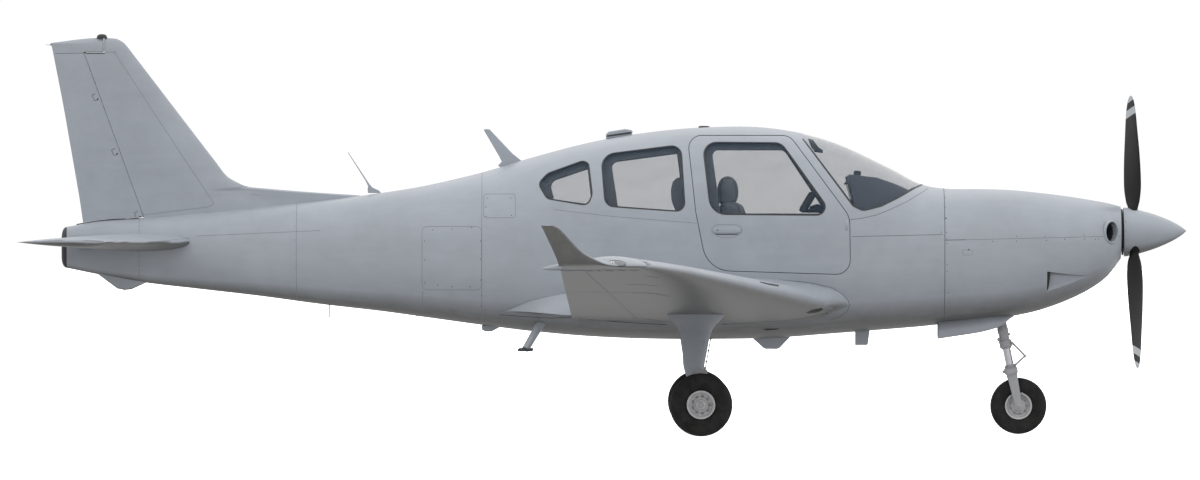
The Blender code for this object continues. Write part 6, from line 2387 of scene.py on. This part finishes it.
def makeBench():
    s = seats
    scale = s["benchScale"]
    hip = s["benchHip"]
    cushion = [(a * scale, b * scale) for a, b in s["cushion"]]
    back = [(a * scale, b * scale) for a, b in s["back"]]
    for kind, outline in (("Cushion", cushion), ("Back", back)):
        outline = dense(rounded(outline, 0.012, 3), 0.024)
        pad = sewn("bench" + kind, outline, s["benchHalf"], hip, s["swell"], s["benchVoxel"])
        tree = surfaceOf(pad)
        welts = bmesh.new()
        facing = Vector((0, 0, 1)) if kind == "Cushion" else Vector((0.96, 0, 0.28))
        for y in (-0.455, -0.165, 0.165, 0.455):
            if kind == "Cushion":
                line = [hip + Vector((x, y, 0.2)) for x in spaced(0.0, 0.37, 0.02)]
            else:
                shares = spaced(0.21, 0.575, 0.02)
                line = [hip + Vector((0.03 - share * 0.27, y, share)) for share in shares]
            seamInto(welts, tree, line, facing, 0.0030)
        settle(pad, "airframe", "seat_cloth", "seat_rear")
        trim = fromBmesh("bench" + kind + "Welt", welts, seatEdge, 60)
        settle(trim, "airframe", "seat_cloth", "seat_rear")
    outline = dense(rounded(s["benchHeadrest"], 0.010, 3), 0.02)
    for side, label, low, high in sides:
        name, centre = "benchHeadrest" + label.title(), hip + Vector((0, side * 0.27, 0))
        rest = sewn(name, outline, 0.115, centre, 0.006, s["voxel"])
        settle(rest, "airframe", "seat_cloth", "seat_rear")
    base = bevelled(box("base", (0.090, -0.355, 0.9055), (0.330, 0.355, 1.035), carpet), 0.012, 3)
    outline = [(hip.x + a, hip.z + b) for a, b in s["benchShell"]]
    shell = bevelled(prism("shell", outline, -0.47, 0.47, darkTrim), 0.008, 3)
    settle(merged("benchFrame", base, shell), "airframe", "seat_cloth", "seat_rear")
    print("bench made")


# Instrument panel, in side view, and what stands on its face
panel = {
    "outline": [
        (1.740, 1.850), (1.765, 1.868), (1.960, 1.845), (2.090, 1.800), (2.180, 1.760), (2.180, 1.560),
        (1.900, 1.330), (1.845, 1.340), (1.800, 1.640),
    ],
    "console": [
        (1.625, 0.906), (2.100, 0.906), (2.100, 1.440), (1.860, 1.450), (1.800, 1.330), (1.640, 1.180),
    ],
    "inset": 0.040,
    # across, up from the face's foot, width, height
    "screens": [(-0.290, 0.105, 0.235, 0.165), (0.000, 0.110, 0.205, 0.155), (0.290, 0.105, 0.235, 0.165)],
    "dials": [(-0.460, 0.150, 0.037), (-0.460, 0.060, 0.037), (0.460, 0.150, 0.037), (0.460, 0.060, 0.037)],
    "faceFoot": Vector((1.800, 0, 1.640)),
    "faceTop": Vector((1.740, 0, 1.850)),
}


def plateInto(bm, centre, up, across, out, width, height, depth, radius):
    outline = rounded(rectangle(-width / 2, -height / 2, width / 2, height / 2), radius, 4)
    loftInto(bm, [[centre + across * a + up * b + out * d for a, b in outline] for d in (-0.004, depth)])


def makePanel():
    shell = prism("instrumentPanel", panel["outline"], -0.7, 0.7, glareFinish)
    xs = [x for x, z in panel["outline"]]
    xs = spaced(min(xs) - 0.05, max(xs) + 0.05, 0.05)
    carve(shell, "INTERSECT", loft("cut", [hullRing(x, panel["inset"]) for x in xs], panelFinish))
    console = prism("console", panel["console"], -0.073, 0.073, panelFinish)
    bevelled(shell, 0.006, 3)
    bevelled(console, 0.010, 3)
    up = (panel["faceTop"] - panel["faceFoot"]).normalized()
    across = Vector((0, 1, 0))
    out = up.cross(across).normalized()
    if out.x > 0:
        out = -out
    shell.data.materials.append(panelFinish)
    for polygon in shell.data.polygons:
        if polygon.normal.dot(out) > 0.8:
            polygon.material_index = len(shell.data.materials) - 1
    bezels, dark, knobs = bmesh.new(), bmesh.new(), bmesh.new()
    for y, rise, width, height in panel["screens"]:
        centre = panel["faceFoot"] + up * rise + across * y
        plateInto(bezels, centre, up, across, out, width, height, 0.008, 0.010)
        spot = centre + out * 0.0085 + up * 0.006
        plateInto(dark, spot, up, across, out, width - 0.030, height - 0.040, 0.001, 0.004)
        for k in range(9):
            spot = centre + across * (k - 4) * width / 10.5 - up * (height / 2 - 0.010)
            plateInto(dark, spot + out * 0.0085, up, across, out, 0.011, 0.006, 0.002, 0.002)
        for hand in (-1, 1):
            spot = centre + across * hand * (width / 2 - 0.008) + up * (height / 2 - 0.014) + out * 0.008
            turnedInto(knobs, spot, spot + out, [(0, 0.0062), (0.011, 0.0058), (0.013, 0.0045)], 20)
    for y, rise, radius in panel["dials"]:
        spot = panel["faceFoot"] + up * rise + across * y
        bezel = [(-0.002, radius), (0.006, radius), (0.009, radius - 0.003), (0.009, radius - 0.006)]
        turnedInto(bezels, spot, spot + out, bezel, 40)
        face = [(0.0, radius - 0.006), (0.0094, radius - 0.006), (0.0096, 0.002)]
        turnedInto(dark, spot, spot + out, face, 40)
    for k in range(14):
        spot = panel["faceFoot"] + across * (-0.39 + 0.06 * k) - up * 0.060 + out * 0.004
        plateInto(knobs, spot, up, across, out, 0.014, 0.026, 0.006, 0.003)
    for y in (-0.042, 0.0, 0.042):
        foot = Vector((1.815, y, 1.445))
        tubeInto(knobs, [foot, foot + Vector((-0.085, 0, 0.030))], 0.0055, 12)
        spot, end = foot + Vector((-0.080, 0, 0.028)), foot + Vector((-0.120, 0, 0.042))
        turnedInto(knobs, spot, end, [(0, 0.010), (0.006, 0.017), (0.026, 0.017), (0.034, 0.010)], 20)
    bezels = fromBmesh("bezels", bezels, darkTrim, 40)
    screens = fromBmesh("screens", dark, screenFinish, 40)
    knobs = fromBmesh("knobs", knobs, seatEdge, 40)
    whole = merged("instrumentPanelWhole", shell, console, bezels, screens, knobs)
    settle(whole, "airframe", "dark_trim", "instrument_panel")


controls = {
    "yokeY": 0.290,
    "pod": [
        (-0.052, -0.026), (0.040, -0.030), (0.056, -0.012), (0.050, 0.022), (0.012, 0.034),
        (-0.036, 0.020),
    ],
    # distance across, share of the pod's section
    "podRows": [
        (-0.052, 0.72), (-0.046, 0.92), (-0.030, 1.0), (0.030, 1.0), (0.046, 0.92), (0.052, 0.72),
    ],
    "grip": [
        (0, 0.012), (0.006, 0.022), (0.030, 0.0255), (0.080, 0.0245), (0.125, 0.0250), (0.150, 0.0230),
        (0.160, 0.014),
    ],
    # in pixels of the photograph
    "visor": [
        (808.0, 138.6), (811.4, 147.0), (815.0, 152.0), (822.6, 153.0), (822.6, 150.2), (818.0, 147.0),
        (813.0, 140.0),
    ],
    "reel": [
        (672, 199), (671.6, 188), (673.5, 181), (677, 177.7), (681, 177.2), (690, 177.2), (690, 212),
        (676.5, 211), (673.3, 203.5),
    ],
    # what stands on the shield, about its middle
    "compass": [
        (-0.026, -0.016), (0.026, -0.016), (0.026, 0.012), (0.012, 0.018), (-0.018, 0.018), (-0.026, 0.010),
    ],
    "compassRows": [(-0.030, 0.8), (-0.026, 1.0), (0.026, 1.0), (0.030, 0.8)],
}


def makeControls():
    # yokes on their columns, pedals, and what hangs from the roof and stands on the shield
    yoke = bmesh.new()
    pod = rounded(controls["pod"], 0.010, 3)
    for side in (-1, 1):
        y = side * controls["yokeY"]
        base, up = Vector((1.430, y, 1.610)), Vector((0.075, 0, 0.129)).normalized()
        tubeInto(yoke, [(1.540, y, 1.622), (1.815, y, 1.585)], 0.0150, 20)
        rings = []
        for across, k in controls["podRows"]:
            rings.append([Vector((1.522 + a * k, y + across, 1.622 + b * k)) for a, b in pod])
        loftInto(yoke, rings)
        for hand in (-1, 1):
            path = [
                Vector((1.515, y + hand * 0.030, 1.612)), Vector((1.478, y + hand * 0.085, 1.606)),
                base + Vector((0.012, hand * 0.118, 0.004)),
            ]
            tubeInto(yoke, smoothPath(path), 0.0135, 16)
            foot = base + Vector((0, hand * 0.122, 0)) - up * 0.012
            turnedInto(yoke, foot, foot + up, controls["grip"], 20)
        for hand in (-1, 1):
            pedal = Vector((2.130, y + hand * 0.075, 1.060))
            rise, facing = Vector((0.25, 0, 0.97)), Vector((-0.97, 0, 0.25))
            plateInto(yoke, pedal, rise, Vector((0, 1, 0)), facing, 0.085, 0.105, 0.012, 0.012)
            tubeInto(yoke, [pedal, pedal + Vector((0.06, 0, -0.150))], 0.009, 12)
    settle(fromBmesh("controlYokes", yoke, darkTrim, 45), "airframe", "dark_trim")
    roof = hullAt(1.52)[0] - 0.036
    fittings = bmesh.new()
    visor = allSeen(controls["visor"], 0)
    rings = []
    for y, inset in ((-0.135, 0.004), (-0.128, 0.0), (0.128, 0.0), (0.135, 0.004)):
        rings.append([Vector((x, y, z)) for x, z in grown(visor, -inset)])
    loftInto(fittings, rings)
    path = smoothPath([(1.490, 0, 2.095), (1.485, 0, 2.110), (1.475, 0, roof + 0.010)])
    tubeInto(fittings, path, 0.006, 12)
    rings = []
    for y, k in controls["compassRows"]:
        rings.append([Vector((1.822 + a * k, y, 1.878 + b * k)) for a, b in controls["compass"]])
    loftInto(fittings, rings)
    settle(fromBmesh("cabinFittings", fittings, darkTrim, 40), "airframe", "dark_trim")


def makeSideTrim():
    # belt reels and sills along the cabin's walls
    corners = rounded(allSeen(controls["reel"], 0.52), 0.006, 3)
    for side, label, low, high in sides:
        reel = hullShell("beltReel" + label.title(), 0.40, 0.66, 0.045, liningFinish, -0.046)
        carve(reel, "INTERSECT", prism("cut", corners, low, high))
        settle(bevelled(reel, 0.004, 2), "airframe", "dark_trim")
        sill = hullShell("cabinSill" + label.title(), -0.83, 2.20, 0.012, liningFinish, -0.036)
        carve(sill, "INTERSECT", prism("cut", rectangle(-0.83, 0.93, 2.18, 1.10), low, high))
        settle(sill, "airframe", "dark_trim")


def dressSolids():
    # looks of the solids that the scene keeps as they are
    for node, finish in (
        ("cabin_floor", carpet), ("rear_bulkhead", liningFinish), ("firewall", gearPaint),
        ("engine_block", engineMetal),
    ):
        for slot in frame["nodes"][node].material_slots:
            slot.material = finish


makeFrontSeats()
makeBench()
makePanel()
makeControls()
makeSideTrim()
dressSolids()
print("cabin fitted")
